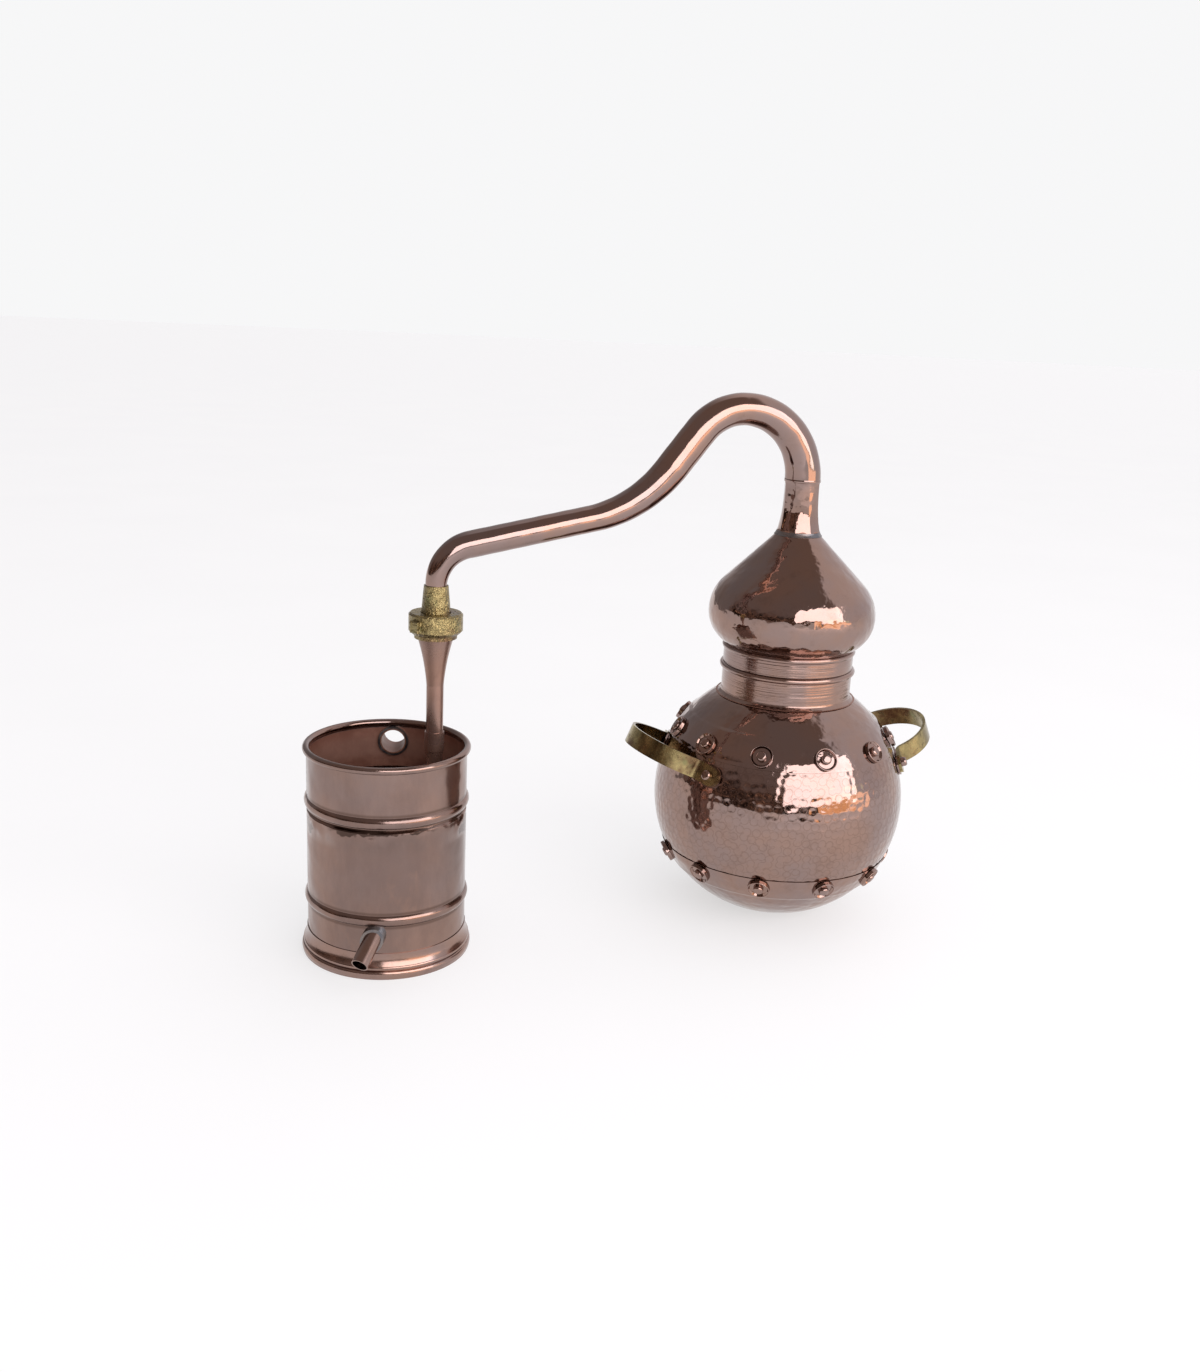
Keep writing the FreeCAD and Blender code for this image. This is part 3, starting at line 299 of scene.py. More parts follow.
def copper(name, pale, warm, gloss, lines=0.0, dents=0.0, ripple=0.0, hammered=False, bare=1.0):
    """Copper whose colour drifts from pale to warm; gloss is its lowest and highest roughness.

    lines, dents and ripple are depths in metres of turning lines, broad dents and fine planishing.
    hammered paints shade along the rim of each mark, from the piece's "mark" attribute. bare is how
    metallic the surface is.
    """
    finish, shader, spot = start_finish(name)
    patches = spot.noise(16.0, 4.0, 0.6).step(0.35, 0.68)
    tint = patches.blend(pale, warm)
    smear = spot.noise(60.0, 6.0, 0.75)
    dark = smear.step(0.50, 0.74) * 0.40
    tint = dark.blend(tint, darker(warm, 0.62))
    cloud = spot.noise(34.0, 4.0, 0.65).step(0.3, 0.75)
    shine = gloss[0] + cloud * (gloss[1] - gloss[0])
    if hammered:
        mark = spot.node("ShaderNodeAttribute", {"attribute_name": "mark"}, out="Fac")
        # painted shade: the rim of each hammer mark is darkened, standing in for the ring its edge
        # shows
        rim = mark.step(0.01, 0.10) * (1 - mark.step(0.10, 0.30))
        tint = (rim * 0.42).blend(tint, darker(warm, 0.55))
        shine = shine + rim * 0.10
    grain = spot.noise(GRAIN, 2.0, 0.5)
    normal = bumped(grain, GRAIN_DEPTH, 0.6)
    if lines:
        turning = spot.noise(1.0, 2.0, 0.6, (6.0, 6.0, 700.0))
        normal = bumped(turning, lines, 1.0, normal)
    if dents:
        wobble = spot.noise(22.0, 2.0, 0.4, (1, 1, 1.4))
        normal = bumped(wobble, dents, 1.0, normal)
    if ripple:
        normal = bumped(spot.noise(95.0, 2.0, 0.5), ripple, 1.0, normal)
    connect(shader, Base_Color=tint, Roughness=shine, Metallic=bare, Normal=normal)
    return finish


PALE = (0.295, 0.215, 0.197, 1)
WARM = (0.335, 0.215, 0.172, 1)
polished = copper("polished_copper", PALE, WARM, (0.05, 0.12), dents=0.0032, ripple=0.00055)
beaten = copper("beaten_copper", PALE, WARM, (0.05, 0.13), ripple=0.0003, hammered=True)
spun = copper("spun_copper", PALE, WARM, (0.10, 0.17), lines=0.00045, dents=0.0008)
drawn = copper("drawn_copper_tube", PALE, WARM, (0.07, 0.13), dents=0.0012)
bucket_copper = copper("bucket_copper", PALE, WARM, (0.14, 0.24), dents=0.0012)
dull = copper("dull_copper", (0.24, 0.125, 0.09, 1), (0.30, 0.15, 0.105, 1), (0.38, 0.55),
              bare=0.55)
aged = copper("aged_copper", (0.27, 0.18, 0.155, 1), (0.31, 0.185, 0.14, 1), (0.24, 0.38),
              bare=0.8)
print("copper finishes:", [m.name for m in (polished, beaten, spun, drawn, bucket_copper, dull, aged)])

# %% [markdown]
# ## Bucket wall, two finishes in one
# The bucket is bright outside and dull red-brown inside, where the cooling water stands. The wall is
# one part, so the distance from the bucket's axis decides which side a point is on. Painted shade lies
# along the edges of both beads, a ragged patch of painted dark reflection hangs under the upper one in
# front, and the wall is dented there.

# %% Bucket finish
low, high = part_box("bucket_floor")
BUCKET_X, BUCKET_Y = (low.x + high.x) / 2, (low.y + high.y) / 2
BEAD_EDGES = (0.0430, 0.0545, 0.1255, 0.1368)
EDGE_SHADE_REACH = 0.0022


def bead_edge_shade(height):
    """Share of painted shade, 1 along each edge of the wall's two beads and 0 away from them."""
    shade_share = 0
    for edge in BEAD_EDGES:
        above, below = height.step(edge - EDGE_SHADE_REACH, edge), height.step(edge, edge + EDGE_SHADE_REACH)
        shade_share = shade_share + above * (1 - below)
    return shade_share


def bucket_finish():
    """Mixes the dull inside and the bright outside by distance from the axis."""
    finish, shader, spot = start_finish("bucket_wall")
    east, north, height = sides(spot)
    out = (east - BUCKET_X) * (east - BUCKET_X) + (north - BUCKET_Y) * (north - BUCKET_Y)
    radius = out.root()
    inside = (1 - radius.step(0.0643, 0.0648)) * (1 - height.step(0.1695, 0.1715))
    patches = spot.noise(14.0, 4.0, 0.6).step(0.35, 0.7)
    outer = patches.blend((0.262, 0.190, 0.172, 1), (0.298, 0.192, 0.155, 1))
    tarnish = spot.noise(12.0, 6.0, 0.7, (1, 1, 0.4)).step(0.42, 0.68) * 0.65
    outer = tarnish.blend(outer, (0.185, 0.125, 0.108, 1))
    rubbed = spot.noise(24.0, 5.0, 0.7, (1, 1, 0.5)).step(0.60, 0.72) * 0.28
    outer = rubbed.blend(outer, (0.36, 0.215, 0.160, 1))
    # painted shade: the wall is darkened along each edge of the two beads
    outer = (bead_edge_shade(height) * 0.6).blend(outer, (0.10, 0.06, 0.045, 1))
    # painted dark reflection: a ragged dark patch under the upper bead, only on the side facing the
    # camera
    ragged = height + spot.noise(40.0, 3.0, 0.6) * 0.022
    dark_reflection_under_bead = ragged.step(0.1315, 0.1325) * (1 - height.step(0.1255, 0.1262))
    front = ((BUCKET_X - east) * 0.25 + (BUCKET_Y - north) * 0.97).step(0.046, 0.058)
    outer = (dark_reflection_under_bead * front * 0.85).blend(outer, (0.055, 0.034, 0.026, 1))
    stains = spot.noise(26.0, 5.0, 0.7).step(0.4, 0.75)
    inner = stains.blend((0.20, 0.085, 0.058, 1), (0.33, 0.165, 0.12, 1))
    tide = (height.step(0.140, 0.150) * (1 - height.step(0.156, 0.170))) * 0.4
    inner = tide.blend(inner, (0.36, 0.21, 0.165, 1))
    smear = spot.noise(30.0, 4.0, 0.6, (1, 1, 0.4)).step(0.3, 0.75)
    shine = 0.13 + smear * 0.09
    shine = shine + inside * 0.25
    wobble = spot.noise(20.0, 2.0, 0.4, (1, 1, 1.3))
    knocks = spot.noise(55.0, 1.0, 0.4)
    band = height.step(0.104, 0.120) * (1 - height.step(0.122, 0.126))
    normal = bumped(wobble, 0.0030)
    normal = bumped(knocks * (0.25 + band * 2.4), 0.0026, 1.0, normal)
    normal = bumped(spot.noise(GRAIN, 2.0), GRAIN_DEPTH, 0.6, normal)
    connect(shader, Base_Color=inside.blend(outer, inner), Roughness=shine,
            Metallic=1 - inside * 0.55, Normal=normal)
    return finish


bucket_wall = bucket_finish()
print("bucket axis at", round(BUCKET_X, 4), round(BUCKET_Y, 4))

# %% [markdown]
# ## Brass and solder
# The straps and the union are brass that has aged to olive, with darker specks, greener patches and
# a red-brown bloom. The union is a rough casting, so its skin is lumpy. Solder is dark grey with a
# blue cast and lies in soft waves.

# %% Brass, solder and washer finishes


def brass(name, lumps, lump_scale):
    """Aged brass: olive ground, dark specks, reddish bloom; lumps is the depth of its rough skin."""
    finish, shader, spot = start_finish(name)
    ground = spot.noise(45.0, 4.0, 0.65).step(0.35, 0.65)
    tint = ground.blend((0.20, 0.155, 0.072, 1), (0.40, 0.320, 0.150, 1))
    bloom = spot.noise(28.0, 4.0, 0.65).step(0.50, 0.64) * 0.85
    tint = bloom.blend(tint, (0.17, 0.095, 0.055, 1))
    specks = spot.noise(190.0, 5.0, 0.75).step(0.54, 0.66) * 0.7
    tint = specks.blend(tint, (0.08, 0.060, 0.032, 1))
    green = spot.noise(75.0, 3.0, 0.6).step(0.60, 0.74) * 0.5
    tint = green.blend(tint, (0.20, 0.215, 0.10, 1))
    shine = 0.16 + ground * 0.10 + specks * 0.25
    normal = bumped(spot.noise(lump_scale, 4.0, 0.6), lumps)
    normal = bumped(specks, 0.00006, 0.5, normal)
    connect(shader, Base_Color=tint, Roughness=shine, Metallic=1.0, Normal=normal)
    return finish


def solder_finish():
    """Grey solder: colour drifts from blue-grey to warm grey, its skin in soft waves."""
    finish, shader, spot = start_finish("grey_solder")
    flow = spot.noise(70.0, 3.0, 0.6).step(0.35, 0.65)
    tint = flow.blend((0.15, 0.150, 0.165, 1), (0.27, 0.235, 0.22, 1))
    normal = bumped(spot.noise(160.0, 3.0, 0.6), 0.0005)
    connect(shader, Base_Color=tint, Roughness=0.30 + flow * 0.12, Metallic=1.0, Normal=normal)
    return finish


def washer_finish():
    """Pressed fibre: brick red with short dark fibres."""
    finish, shader, spot = start_finish("fibre_washer")
    fibres = spot.noise(500.0, 3.0, 0.6, (1, 1, 3)).step(0.4, 0.7)
    tint = fibres.blend((0.28, 0.09, 0.05, 1), (0.16, 0.05, 0.03, 1))
    connect(shader, Base_Color=tint, Roughness=0.8, Normal=bumped(fibres, 0.0001))
    return finish


brass_strap = brass("brass_strap", 0.00010, 120.0)
brass_cast = brass("brass_cast", 0.0030, 230.0)
solder = solder_finish()
fibre = washer_finish()
print("brass, solder and washer ready")

# %% [markdown]
# ## Which part takes which finish
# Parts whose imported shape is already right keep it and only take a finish. The list is written out
# by part, so that a missing part shows at once.

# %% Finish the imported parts
FINISHES = {
    polished: ["pot_base", "upper_rivets", "lower_rivets", "upper_dishes", "lower_dishes",
               "handle_rivets_left", "handle_rivets_right", "handle_pads_left",
               "handle_pads_right", "pot_belly", "pot_shoulder", "head_dome", "head_throat"],
    spun: ["neck_collar", "head_collar", "head_ring"],
    drawn: ["swan_neck"],
    aged: ["inlet_cone", "inlet_pipe", "inlet_socket", "worm_coil", "worm_stays"],
    bucket_wall: ["bucket_shell"],
    bucket_copper: ["foot_ring", "outlet_spout"],
    dull: ["bucket_floor", "overflow_pipe"],
    solder: ["outlet_collar", "overflow_collar"],
    brass_strap: ["handle_left", "handle_right"],
    brass_cast: ["union_nut", "union_tail", "union_male"],
    fibre: ["union_washer"],
}


def give_finish(piece, *finishes):
    piece.data.materials.clear()
    for finish in finishes:
        piece.data.materials.append(finish)


for finish, names in FINISHES.items():
    for name in names:
        give_finish(parts[name], finish)
bare = sorted(set(parts) - {name for names in FINISHES.values() for name in names})
print("parts without a finish:", bare)

# %% [markdown]
# ## Skins worked out as surfaces
# A mirror-bright pot shows every flat of a coarse mesh, so the large bright parts get new skins. Each
# is a closed outline in radius and height, turned about the upright axis on an even grid, and pushed
# inwards by hammer marks and by the slow unevenness of beaten sheet. The whole grid is computed at
# once.

# %% Surface helpers
MM = 0.001
MARK_PITCH, MARK_DEPTH = 7.5, 0.27
EDGE_CALM = 3.0


def arc(middle, radius, start, end, count):
    """Points on an arc: middle plus radius times cosine and sine of the angle, in degrees."""
    angle = np.radians(np.linspace(start, end, count))
    return np.stack([middle[0] + radius * np.cos(angle), middle[1] + radius * np.sin(angle)], 1)


def line(start, end, count):
    """Points on a straight run: start plus an even share of the way to the end."""
    share = np.linspace(0.0, 1.0, count)[:, None]
    return np.array(start) * (1 - share) + np.array(end) * share


def way_out(loop):
    """Unit normal at each point of an outline: its direction of travel turned a quarter clockwise."""
    travel = np.roll(loop, -1, 0) - np.roll(loop, 1, 0)
    travel /= np.maximum(np.linalg.norm(travel, axis=1, keepdims=True), 1e-12)
    return np.stack([travel[:, 1], -travel[:, 0]], 1)


def grid_mesh(name, points):
    """Smooth mesh of four-sided faces over a grid of points that closes in both directions."""
    count, rows = points.shape[:2]
    i = np.arange(count)[:, None]
    j = np.arange(rows)[None, :]
    right, up = (i + 1) % count, (j + 1) % rows
    faces = np.stack([i * rows + j, right * rows + j, right * rows + up, i * rows + up], -1)
    faces = faces.reshape(-1, 4)
    mesh = bpy.data.meshes.new(name)
    mesh.vertices.add(count * rows)
    mesh.vertices.foreach_set("co", points.astype(np.float32).ravel())
    mesh.loops.add(faces.size)
    mesh.loops.foreach_set("vertex_index", faces.astype(np.int32).ravel())
    mesh.polygons.add(len(faces))
    mesh.polygons.foreach_set("loop_start", np.arange(0, faces.size, 4, dtype=np.int32))
    mesh.polygons.foreach_set("use_smooth", np.ones(len(faces), dtype=bool))
    mesh.update(calc_edges=True)
    mesh.validate()
    mesh.set_sharp_from_angle(angle=math.radians(50))
    return mesh


def turned_skin(name, outer, inner, body, finishes, nodes=(), around=256, relief=None,
                hammer=None, axis=(0.0, 0.0)):
    """Turns a closed outline about an upright axis.

    A point is axis plus radius times (cosine, sine) of the turn, at its height. relief and hammer
    move the outer run along its normal, and the share of a full hammer mark is kept as "mark".
    outer runs upwards and inner runs down again; sizes in mm.
    """
    loop = np.concatenate([outer, inner])
    normal = way_out(loop)
    turn = np.linspace(0, 2 * np.pi, around, endpoint=False)[:, None]
    push, marks = np.zeros((around, len(loop))), np.zeros((around, len(loop)))
    if relief is not None:
        along = np.concatenate([[0], np.cumsum(np.linalg.norm(np.diff(outer, axis=0), axis=1))])
        share = np.clip(np.minimum(along, along[-1] - along) / EDGE_CALM, 0, 1)
        push[:, :len(outer)] = relief(turn, along[None, :], outer[:, 0][None, :]) * share
    if hammer is not None:
        marks[:, :len(outer)] = hammer(turn, along[None, :], outer[:, 0][None, :]) * share
    push = push + marks
    radius = loop[:, 0] + push * normal[:, 0]
    height = loop[:, 1] + push * normal[:, 1]
    points = np.stack([axis[0] + radius * np.cos(turn), axis[1] + radius * np.sin(turn),
                       height + 0 * turn], -1) * MM
    mesh = grid_mesh(name, points)
    piece = bpy.data.objects.new(name, mesh)
    bpy.context.scene.collection.objects.link(piece)
    give_finish(piece, *finishes)
    if len(finishes) > 1:
        row = np.arange(len(loop))
        inside = (row >= len(outer) - 1).astype(np.int32)
        mesh.polygons.foreach_set("material_index", np.tile(inside, around))
    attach(piece, body)
    marked = mesh.attributes.new("mark", "FLOAT", "POINT")
    marked.data.foreach_set("value", np.clip(-marks / MARK_DEPTH, 0, 1).astype(np.float32).ravel())
    if nodes:
        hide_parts(*nodes)
    print(f"{name}: {len(mesh.polygons) * 2} triangles")
    return piece


# %% [markdown]
# ## Hammer marks
# Each blow leaves a round shallow bowl. The bowls lie in rows round the pot, like the rows a smith
# works in, with a little scatter and a force of their own. A point takes the depth of the deepest
# bowl over it and nothing outside them, so no bowl stands proud of the sheet.

# %% Hammer marks


def hammered(pitch, reach, depth, seed, scatter=0.22, fade=None):
    """Relief of rows of bowls: minus depth times one minus (distance / reach) squared, never above 0.

    Rows are pitch apart along the sheet; a row holds as many bowls as fit round it.
    """
    dice = np.random.default_rng(seed)
    jitter = dice.uniform(-scatter, scatter, (80, 240, 2))
    force = dice.uniform(0.45, 1.0, (80, 240))

    def relief(turn, along, radius):
        turn, along, radius = np.broadcast_arrays(turn, along, radius)
        base = np.floor(along / pitch).astype(int)
        radius_of_row = np.interp(np.arange(base.max() + 3) * pitch, along[0], radius[0])
        fit = np.maximum(np.round(2 * np.pi * radius_of_row / pitch), 6).astype(int)
        found = np.zeros(turn.shape)
        for row_step in (-1, 0, 1):
            row = np.clip(base + row_step, 0, len(fit) - 1)
            count = fit[row]
            place = turn / (2 * np.pi) * count - 0.5 * (row % 2)
            for column_step in (-1, 0, 1):
                column = np.round(place).astype(int) + column_step
                pick = column % count
                across = (column + jitter[row, pick, 0] - place) * 2 * np.pi * radius / count
                down = (row + 0.5 + jitter[row, pick, 1]) * pitch - along
                near = 1 - (across ** 2 + down ** 2) / reach ** 2
                bowl = np.maximum(near, 0) * force[row, pick]
                found = np.maximum(found, bowl)
        found = -depth * found
        return found if fade is None else found * fade(along)

    return relief


def swell(turn, along, seed, size, waves):
    """Slow unevenness of beaten sheet: a few sine waves round and along, never above zero."""
    dice = np.random.default_rng(seed)
    total = 0
    for _ in range(waves):
        rounds, pace, shift = dice.integers(2, 30), dice.uniform(0.02, 0.22), dice.uniform(0, 6.28)
        sense = dice.choice((-1, 1))
        total = total + np.sin(rounds * turn + pace * along * sense + shift) / rounds * 8
    return size * (total / waves / 4 - 1)


print("a full mark on the belly is", MARK_PITCH, "mm across and", MARK_DEPTH, "mm deep")

# %% [markdown]
# ## The pot
# The pot is three sheets: a pan, a belly and a shoulder. The pan and the shoulder ride over the
# belly's edges in two riveted laps, so each has a small step where it leaves the lap, and its free
# edge is dressed down thin. The belly is hammered all over, the pan and the shoulder more lightly.

# %% Pan, belly and shoulder
SHEET = 1.0
BELT_R, BELT_Z = 112.5, 105.0
UP_R, LOW_R = 114.0, 108.0
UP_MID, LOW_MID = (BELT_R - UP_R, BELT_Z), (BELT_R - LOW_R, BELT_Z)
LAP_LOW, LAP_HIGH, PAN_EDGE, PAN_STEP, STEP = 27.5, 41.5, -24.5, -37.0, 1.2
NECK_R = 57.4
NECK_ANGLE = math.degrees(math.acos((NECK_R - UP_MID[0]) / UP_R))
NECK_INNER = math.degrees(math.acos((NECK_R - UP_MID[0]) / (UP_R - SHEET)))


def uneven(seed, size, waves=9):
    """The slow unevenness of one sheet, ready for turned_skin."""
    return lambda turn, along, radius: swell(turn, along, seed, size, waves)


def feather(count, soft=9):
    """Share of the sheet's thickness near its free edge: eased down over the last few points."""
    left = np.clip((count - 1 - np.arange(count)) / soft, 0, 1)
    return 0.15 + 0.85 * np.sin(left * np.pi / 2)


belly_out = np.concatenate([arc(LOW_MID, LOW_R, PAN_STEP, 0, 64)[:-1],
                            arc(UP_MID, UP_R, 0, LAP_HIGH, 76)])
belly_in = np.concatenate([arc(UP_MID, UP_R - SHEET, LAP_HIGH, 0, 9)[:-1],
                           arc(LOW_MID, LOW_R - SHEET, 0, PAN_STEP, 8)])
turned_skin("hammered_belly", belly_out, belly_in, "pot", (beaten, dull),
            ["pot_belly"], around=640,
            relief=uneven(11, 0.40, 24), hammer=hammered(MARK_PITCH, MARK_PITCH / 2, MARK_DEPTH, 3))

shoulder_out = np.concatenate([
    arc(UP_MID, UP_R + SHEET * feather(30)[::-1], LAP_LOW, LAP_HIGH, 30),
    arc(UP_MID, UP_R, LAP_HIGH + STEP, NECK_ANGLE, 36)])
shoulder_in = np.concatenate([
    arc(UP_MID, UP_R - SHEET, NECK_INNER, LAP_HIGH + STEP, 8),
    arc(UP_MID, UP_R, LAP_HIGH, LAP_LOW, 6)])
turned_skin("planished_shoulder", shoulder_out, shoulder_in, "pot",
            (polished, dull), ["pot_shoulder"], around=512,
            relief=uneven(12, 0.42, 22), hammer=hammered(9.0, 5.4, 0.07, 5, 0.35))

floor_out = -math.degrees(math.asin(BELT_Z / LOW_R))
floor_in = -math.degrees(math.asin((BELT_Z - SHEET) / (LOW_R - SHEET)))
pan_out = np.concatenate([
    line((0.02, 0.0), (LOW_MID[0] + LOW_R * math.cos(math.radians(floor_out)), 0.0), 8)[:-1],
    arc(LOW_MID, LOW_R, floor_out, PAN_STEP - STEP, 46),
    arc(LOW_MID, LOW_R + SHEET * feather(26), PAN_STEP, PAN_EDGE, 26)])
pan_in = np.concatenate([
    arc(LOW_MID, LOW_R, PAN_EDGE, PAN_STEP, 6),
    arc(LOW_MID, LOW_R - SHEET, PAN_STEP - STEP, floor_in, 8),
    line((LOW_MID[0] + (LOW_R - SHEET) * math.cos(math.radians(floor_in)), SHEET),
         (0.02, SHEET), 4)[1:]])
turned_skin("planished_pan", pan_out, pan_in, "pot", (polished, dull),
            ["pot_base"], around=512,
            relief=uneven(13, 0.08), hammer=hammered(8.0, 4.4, 0.16, 7))

# %% [markdown]
# ## Neck, collar and dome
# The neck is spun, with a rolled bead that the head's collar sits on, and a small flare where it
# meets the shoulder. The dome is planished: its marks are wide and shallow, and deeper near its foot.

# %% Neck and head collar
BEAD_Z, BEAD_R, NECK_FOOT = 225.5, 2.7, 202.6
FOOT_FLARE = 4.2
neck_out = np.concatenate([
    arc((NECK_R + FOOT_FLARE, NECK_FOOT + FOOT_FLARE - 2.6), FOOT_FLARE, 275, 180, 14),
    line((NECK_R, NECK_FOOT + 2.4), (NECK_R, BEAD_Z - BEAD_R), 24),
    arc((NECK_R, BEAD_Z), BEAD_R, -90, 90, 14)])
neck_in = line((NECK_R - SHEET, BEAD_Z + BEAD_R), (NECK_R - SHEET, NECK_FOOT - 2.0), 6)
turned_skin("spun_neck", neck_out, neck_in, "pot", (spun, dull), ["neck_collar"],
            around=256, relief=uneven(21, 0.03, 6))

# %% Dome
DOME_R, DOME_Z, DOME_FOOT, DOME_ARC, THROAT_R, SEAM_Z = 74.0, 274.0, 245.5, 40.0, 19.6, 391.0
rise, reach = DOME_Z - DOME_FOOT, DOME_R - NECK_R
LOW_ARC = (reach * reach + rise * rise) / (2 * reach)
DOME_MID, FOOT_MID = (DOME_R - DOME_ARC, DOME_Z), (DOME_R - LOW_ARC, DOME_Z)
foot_out = -math.degrees(math.asin(rise / LOW_ARC))
foot_in = -math.degrees(math.asin(rise / (LOW_ARC - SHEET)))
slope = arc(DOME_MID, DOME_ARC, 45, 45, 1)[0]
DOME_TOP = slope[1] + slope[0] - THROAT_R
dome_out = np.concatenate([
    arc(FOOT_MID, LOW_ARC, foot_out, 0, 34)[:-1],
    arc(DOME_MID, DOME_ARC, 0, 45, 34)[:-1],
    line(slope, (THROAT_R, DOME_TOP), 48)])
slant = SHEET * math.sqrt(2)
dome_in = np.concatenate([
    line((THROAT_R - slant, DOME_TOP), (slope[0] - SHEET * 0.7, slope[1] - SHEET * 0.7), 6)[:-1],
    arc(DOME_MID, DOME_ARC - SHEET, 45, 0, 8)[:-1],
    arc(FOOT_MID, LOW_ARC - SHEET, 0, foot_in, 8)])
turned_skin("planished_dome", dome_out, dome_in, "head", (polished, dull),
            ["head_dome"], around=480,
            relief=uneven(31, 0.60, 26),
            hammer=hammered(8.5, 4.8, 0.17, 9, 0.3, lambda along: 0.65 + 0.75 * (along < 20)))

# %% [markdown]
# ## Throat
# The throat is a cone hammered over a stake, so it has long flats instead of round marks. Its flats
# come from a wave round the cone that is cut off at the top, and they fade at both seams.

# %% Throat
TUBE_FOOT = 15.6
height_share = np.linspace(0, 1, 40)
throat_radius = TUBE_FOOT + (THROAT_R - TUBE_FOOT) * (1 - height_share) ** 3.4
throat_out = np.stack([throat_radius, DOME_TOP + (SEAM_Z - DOME_TOP) * height_share], 1)
throat_in = throat_out[::-4] - np.array([SHEET, 0.0])


def flats(turn, along, radius):
    """Long flats: how far a regular polygon lies inside its circle, with a slow twist."""
    sides_round = 8
    phase = (turn + 0.25 + 0.004 * along) * sides_round / (2 * np.pi)
    offset = (phase - np.round(phase)) * 2 * np.pi / sides_round
    return radius * -(1 - math.cos(math.pi / sides_round) / np.cos(offset)) * 0.55


turned_skin("hammered_throat", throat_out, throat_in, "head", (polished, dull),
            ["head_throat"], around=216,
            relief=lambda t, s, r: flats(t, s, r) + swell(t, s, 41, 0.12, 9))

# %% [markdown]
# ## Solder seams
# A grey fillet closes the foot of the throat, and a thin one its top where the swan neck starts.

# %% Solder seams


def fillet(name, low_spot, corner, high_spot, bury=0.6, seed=1, body="head", finish=solder):
    """Concave bead of solder between two points, pulled towards the corner between them."""
    share = np.linspace(0, 1, 9)[:, None]
    low_spot, corner, high_spot = (np.array(p, float) for p in (low_spot, corner, high_spot))
    bulge = low_spot * (1 - share) ** 2 + corner * 2 * share * (1 - share) + high_spot * share ** 2
    back = np.array([high_spot - (bury, 0), low_spot - (bury, bury)])
    return turned_skin(name, bulge, back, body, (finish,), around=180,
                       relief=lambda t, s, r: swell(t, s, seed, 0.10, 7))


fillet("throat_foot_solder", (THROAT_R + 1.3, DOME_TOP - 1.2), (THROAT_R + 0.1, DOME_TOP),
       (THROAT_R - 0.75, DOME_TOP + 2.2), seed=51)
fillet("throat_top_seam", (TUBE_FOOT, SEAM_Z - 1.2), (TUBE_FOOT + 0.45, SEAM_Z),
       (TUBE_FOOT, SEAM_Z + 1.2), seed=52, finish=polished)

# %% [markdown]
# ## Swan neck
# The neck is one tube bent over sand: an arch, a fall and a long gentle run down to the union. Its
# path is a chain of arcs and straight runs in one upright plane, and its radius tapers along it. The
# tube is a circle carried along that path, with very slight ripples left by the bending.

# %% Swan neck path
ARCH_Z, ARCH_R, FALL_R, FALL, RUN = 450.0, 59.0, 50.0, 52.0, 11.3
ELBOW_R, DROP_R, UNION_X, RUN_END_Z, NUT_TOP = 115.0, 33.0, -320.0, 332.3, 283.0


def bend(start, corner, after, radius):
    """Straight run and arc that round off a corner: the arc touches both runs at the same reach."""
    start, corner, after = (np.array(p, float) for p in (start, corner, after))
    back = (start - corner) / np.linalg.norm(start - corner)
    onward = (after - corner) / np.linalg.norm(after - corner)
    half = math.acos(float(back @ onward)) / 2
    touch = radius / math.tan(half)
    middle = corner + (back + onward) / np.linalg.norm(back + onward) * radius / math.sin(half)
    first, last = corner + back * touch - middle, corner + onward * touch - middle
    a0, a1 = math.atan2(first[1], first[0]), math.atan2(last[1], last[0])
    a1 = a0 + (a1 - a0 + math.pi) % (2 * math.pi) - math.pi
    angle = np.linspace(a0, a1, 40)
    round_part = middle + radius * np.stack([np.cos(angle), np.sin(angle)], 1)
    return line(start, round_part[0], 40)[:-1], round_part


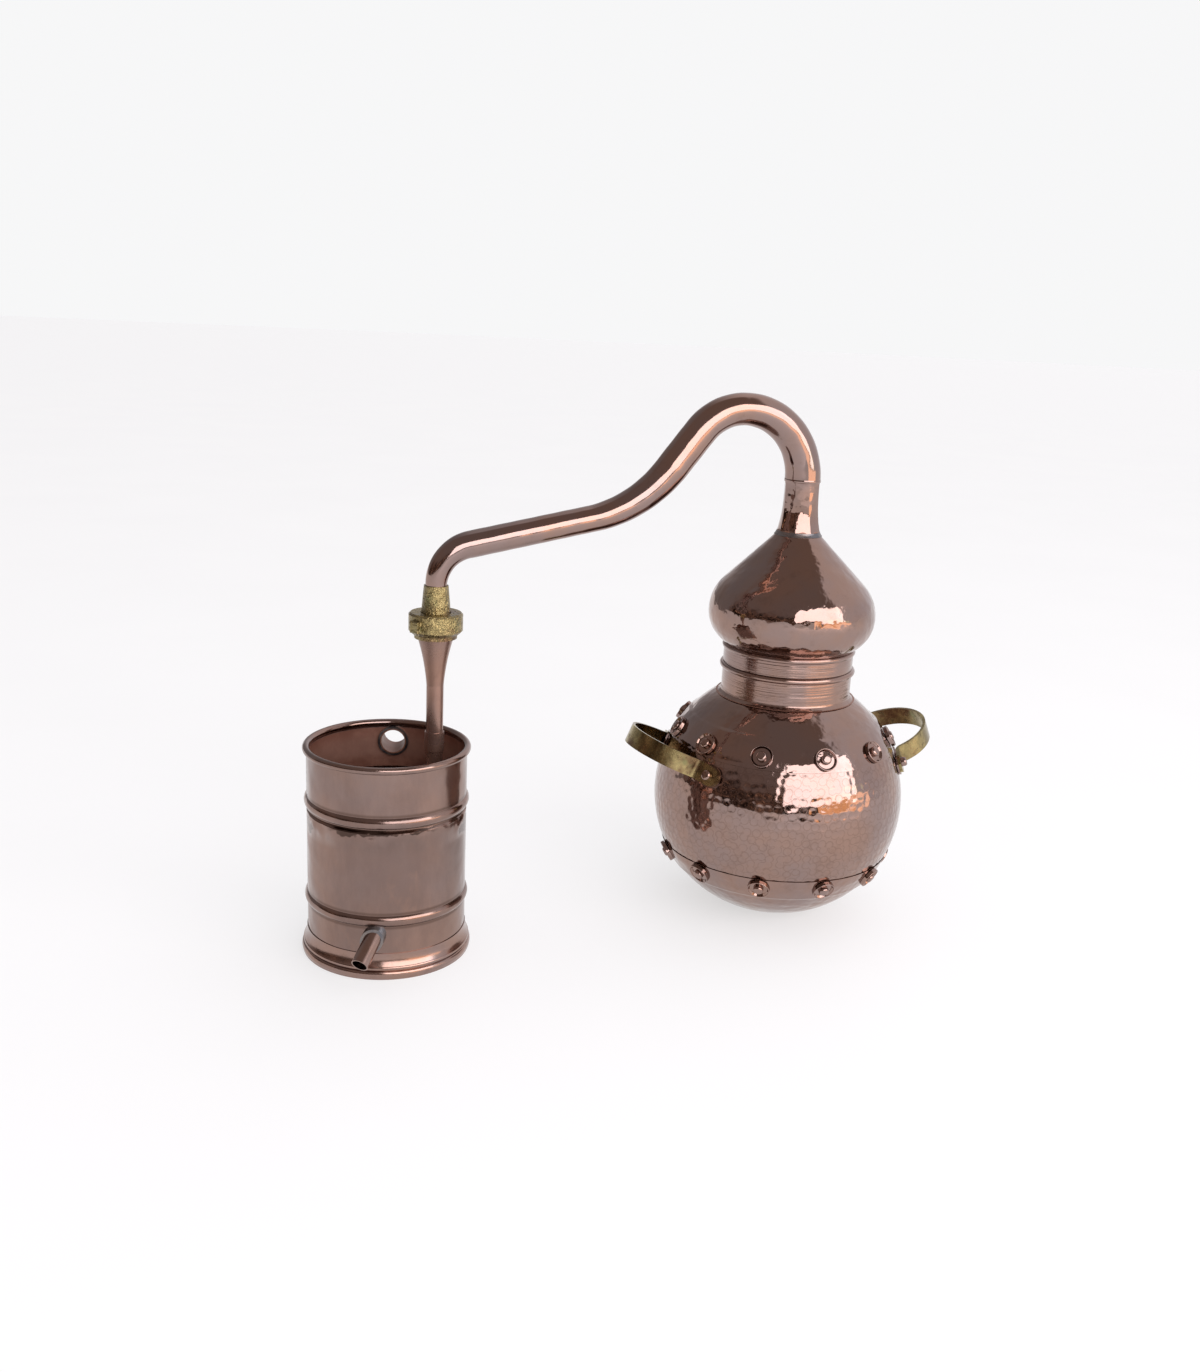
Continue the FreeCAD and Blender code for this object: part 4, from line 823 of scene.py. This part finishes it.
def neck_path():
    """Middle line of the neck in its upright plane, and the tube's radius at each point."""
    rise = arc((-ARCH_R, ARCH_Z - ARCH_R), ARCH_R, 0, 90, 70)
    fall = arc((-ARCH_R, ARCH_Z - FALL_R), FALL_R, 90, 90 + FALL, 50)[1:]
    slope, steep = math.tan(math.radians(RUN)), math.tan(math.radians(FALL))
    start, last = fall[-1], np.array([UNION_X, RUN_END_Z])
    across = (start[1] - last[1] - slope * (start[0] - UNION_X)) / (steep - slope)
    knee = start - across * np.array([1.0, steep])
    straight, elbow = bend(start, knee, last, ELBOW_R)
    run, drop = bend(elbow[-1], last, last - (0, 10), DROP_R)
    tail = line(drop[-1], (UNION_X, NUT_TOP), 14)
    pieces = [rise, fall, straight[1:], elbow, run[1:], drop, tail[1:]]
    radii = [TUBE_FOOT, 13.6, 14.0, 14.0, 11.2, 11.2, 8.8, 8.8]
    sizes = [np.linspace(a, b, len(p)) for a, b, p in zip(radii, radii[1:], pieces)]
    return np.concatenate(pieces), np.concatenate(sizes)


def tube_grid(path, radius, around=88):
    """Circle carried along the path: middle + radius * (cosine * plane normal + sine * side)."""
    travel = np.gradient(path, axis=0)
    travel /= np.linalg.norm(travel, axis=1, keepdims=True)
    normal = np.stack([-travel[:, 1], travel[:, 0]], 1)
    turn = np.linspace(0, 2 * np.pi, around, endpoint=False)[:, None]
    x = path[:, 0] + radius * np.cos(turn) * normal[:, 0]
    z = path[:, 1] + radius * np.cos(turn) * normal[:, 1]
    y = radius * np.sin(turn) + 0 * x
    return np.stack([x, y, z], -1) * MM


def make_swan_neck():
    """Outer tube, then the same path back again as the bore, joined into one closed skin."""
    path, radius = neck_path()
    keep = np.concatenate([[True], np.linalg.norm(np.diff(path, axis=0), axis=1) > 1e-6])
    path, radius = path[keep], radius[keep]
    far = np.concatenate([[0], np.cumsum(np.linalg.norm(np.diff(path, axis=0), axis=1))])
    turn = np.linspace(0, 2 * np.pi, 88, endpoint=False)[:, None]
    ripple = 0.05 * (np.sin(far * 0.34 + 2.2 * np.sin(turn)) - 1)
    ripple = ripple + swell(turn, far[None, :], 61, 0.08, 7)
    outer, inner = tube_grid(path, radius + ripple), tube_grid(path, radius - SHEET)
    points = np.concatenate([outer, inner[:, ::-3]], 1)
    mesh = grid_mesh("swan_neck_tube", points[::-1])
    piece = bpy.data.objects.new("swan_neck_tube", mesh)
    bpy.context.scene.collection.objects.link(piece)
    give_finish(piece, drawn)
    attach(piece, "head")
    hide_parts("swan_neck")
    print("swan neck:", round(far[-1]), "mm along,", len(mesh.polygons) * 2, "triangles")


make_swan_neck()
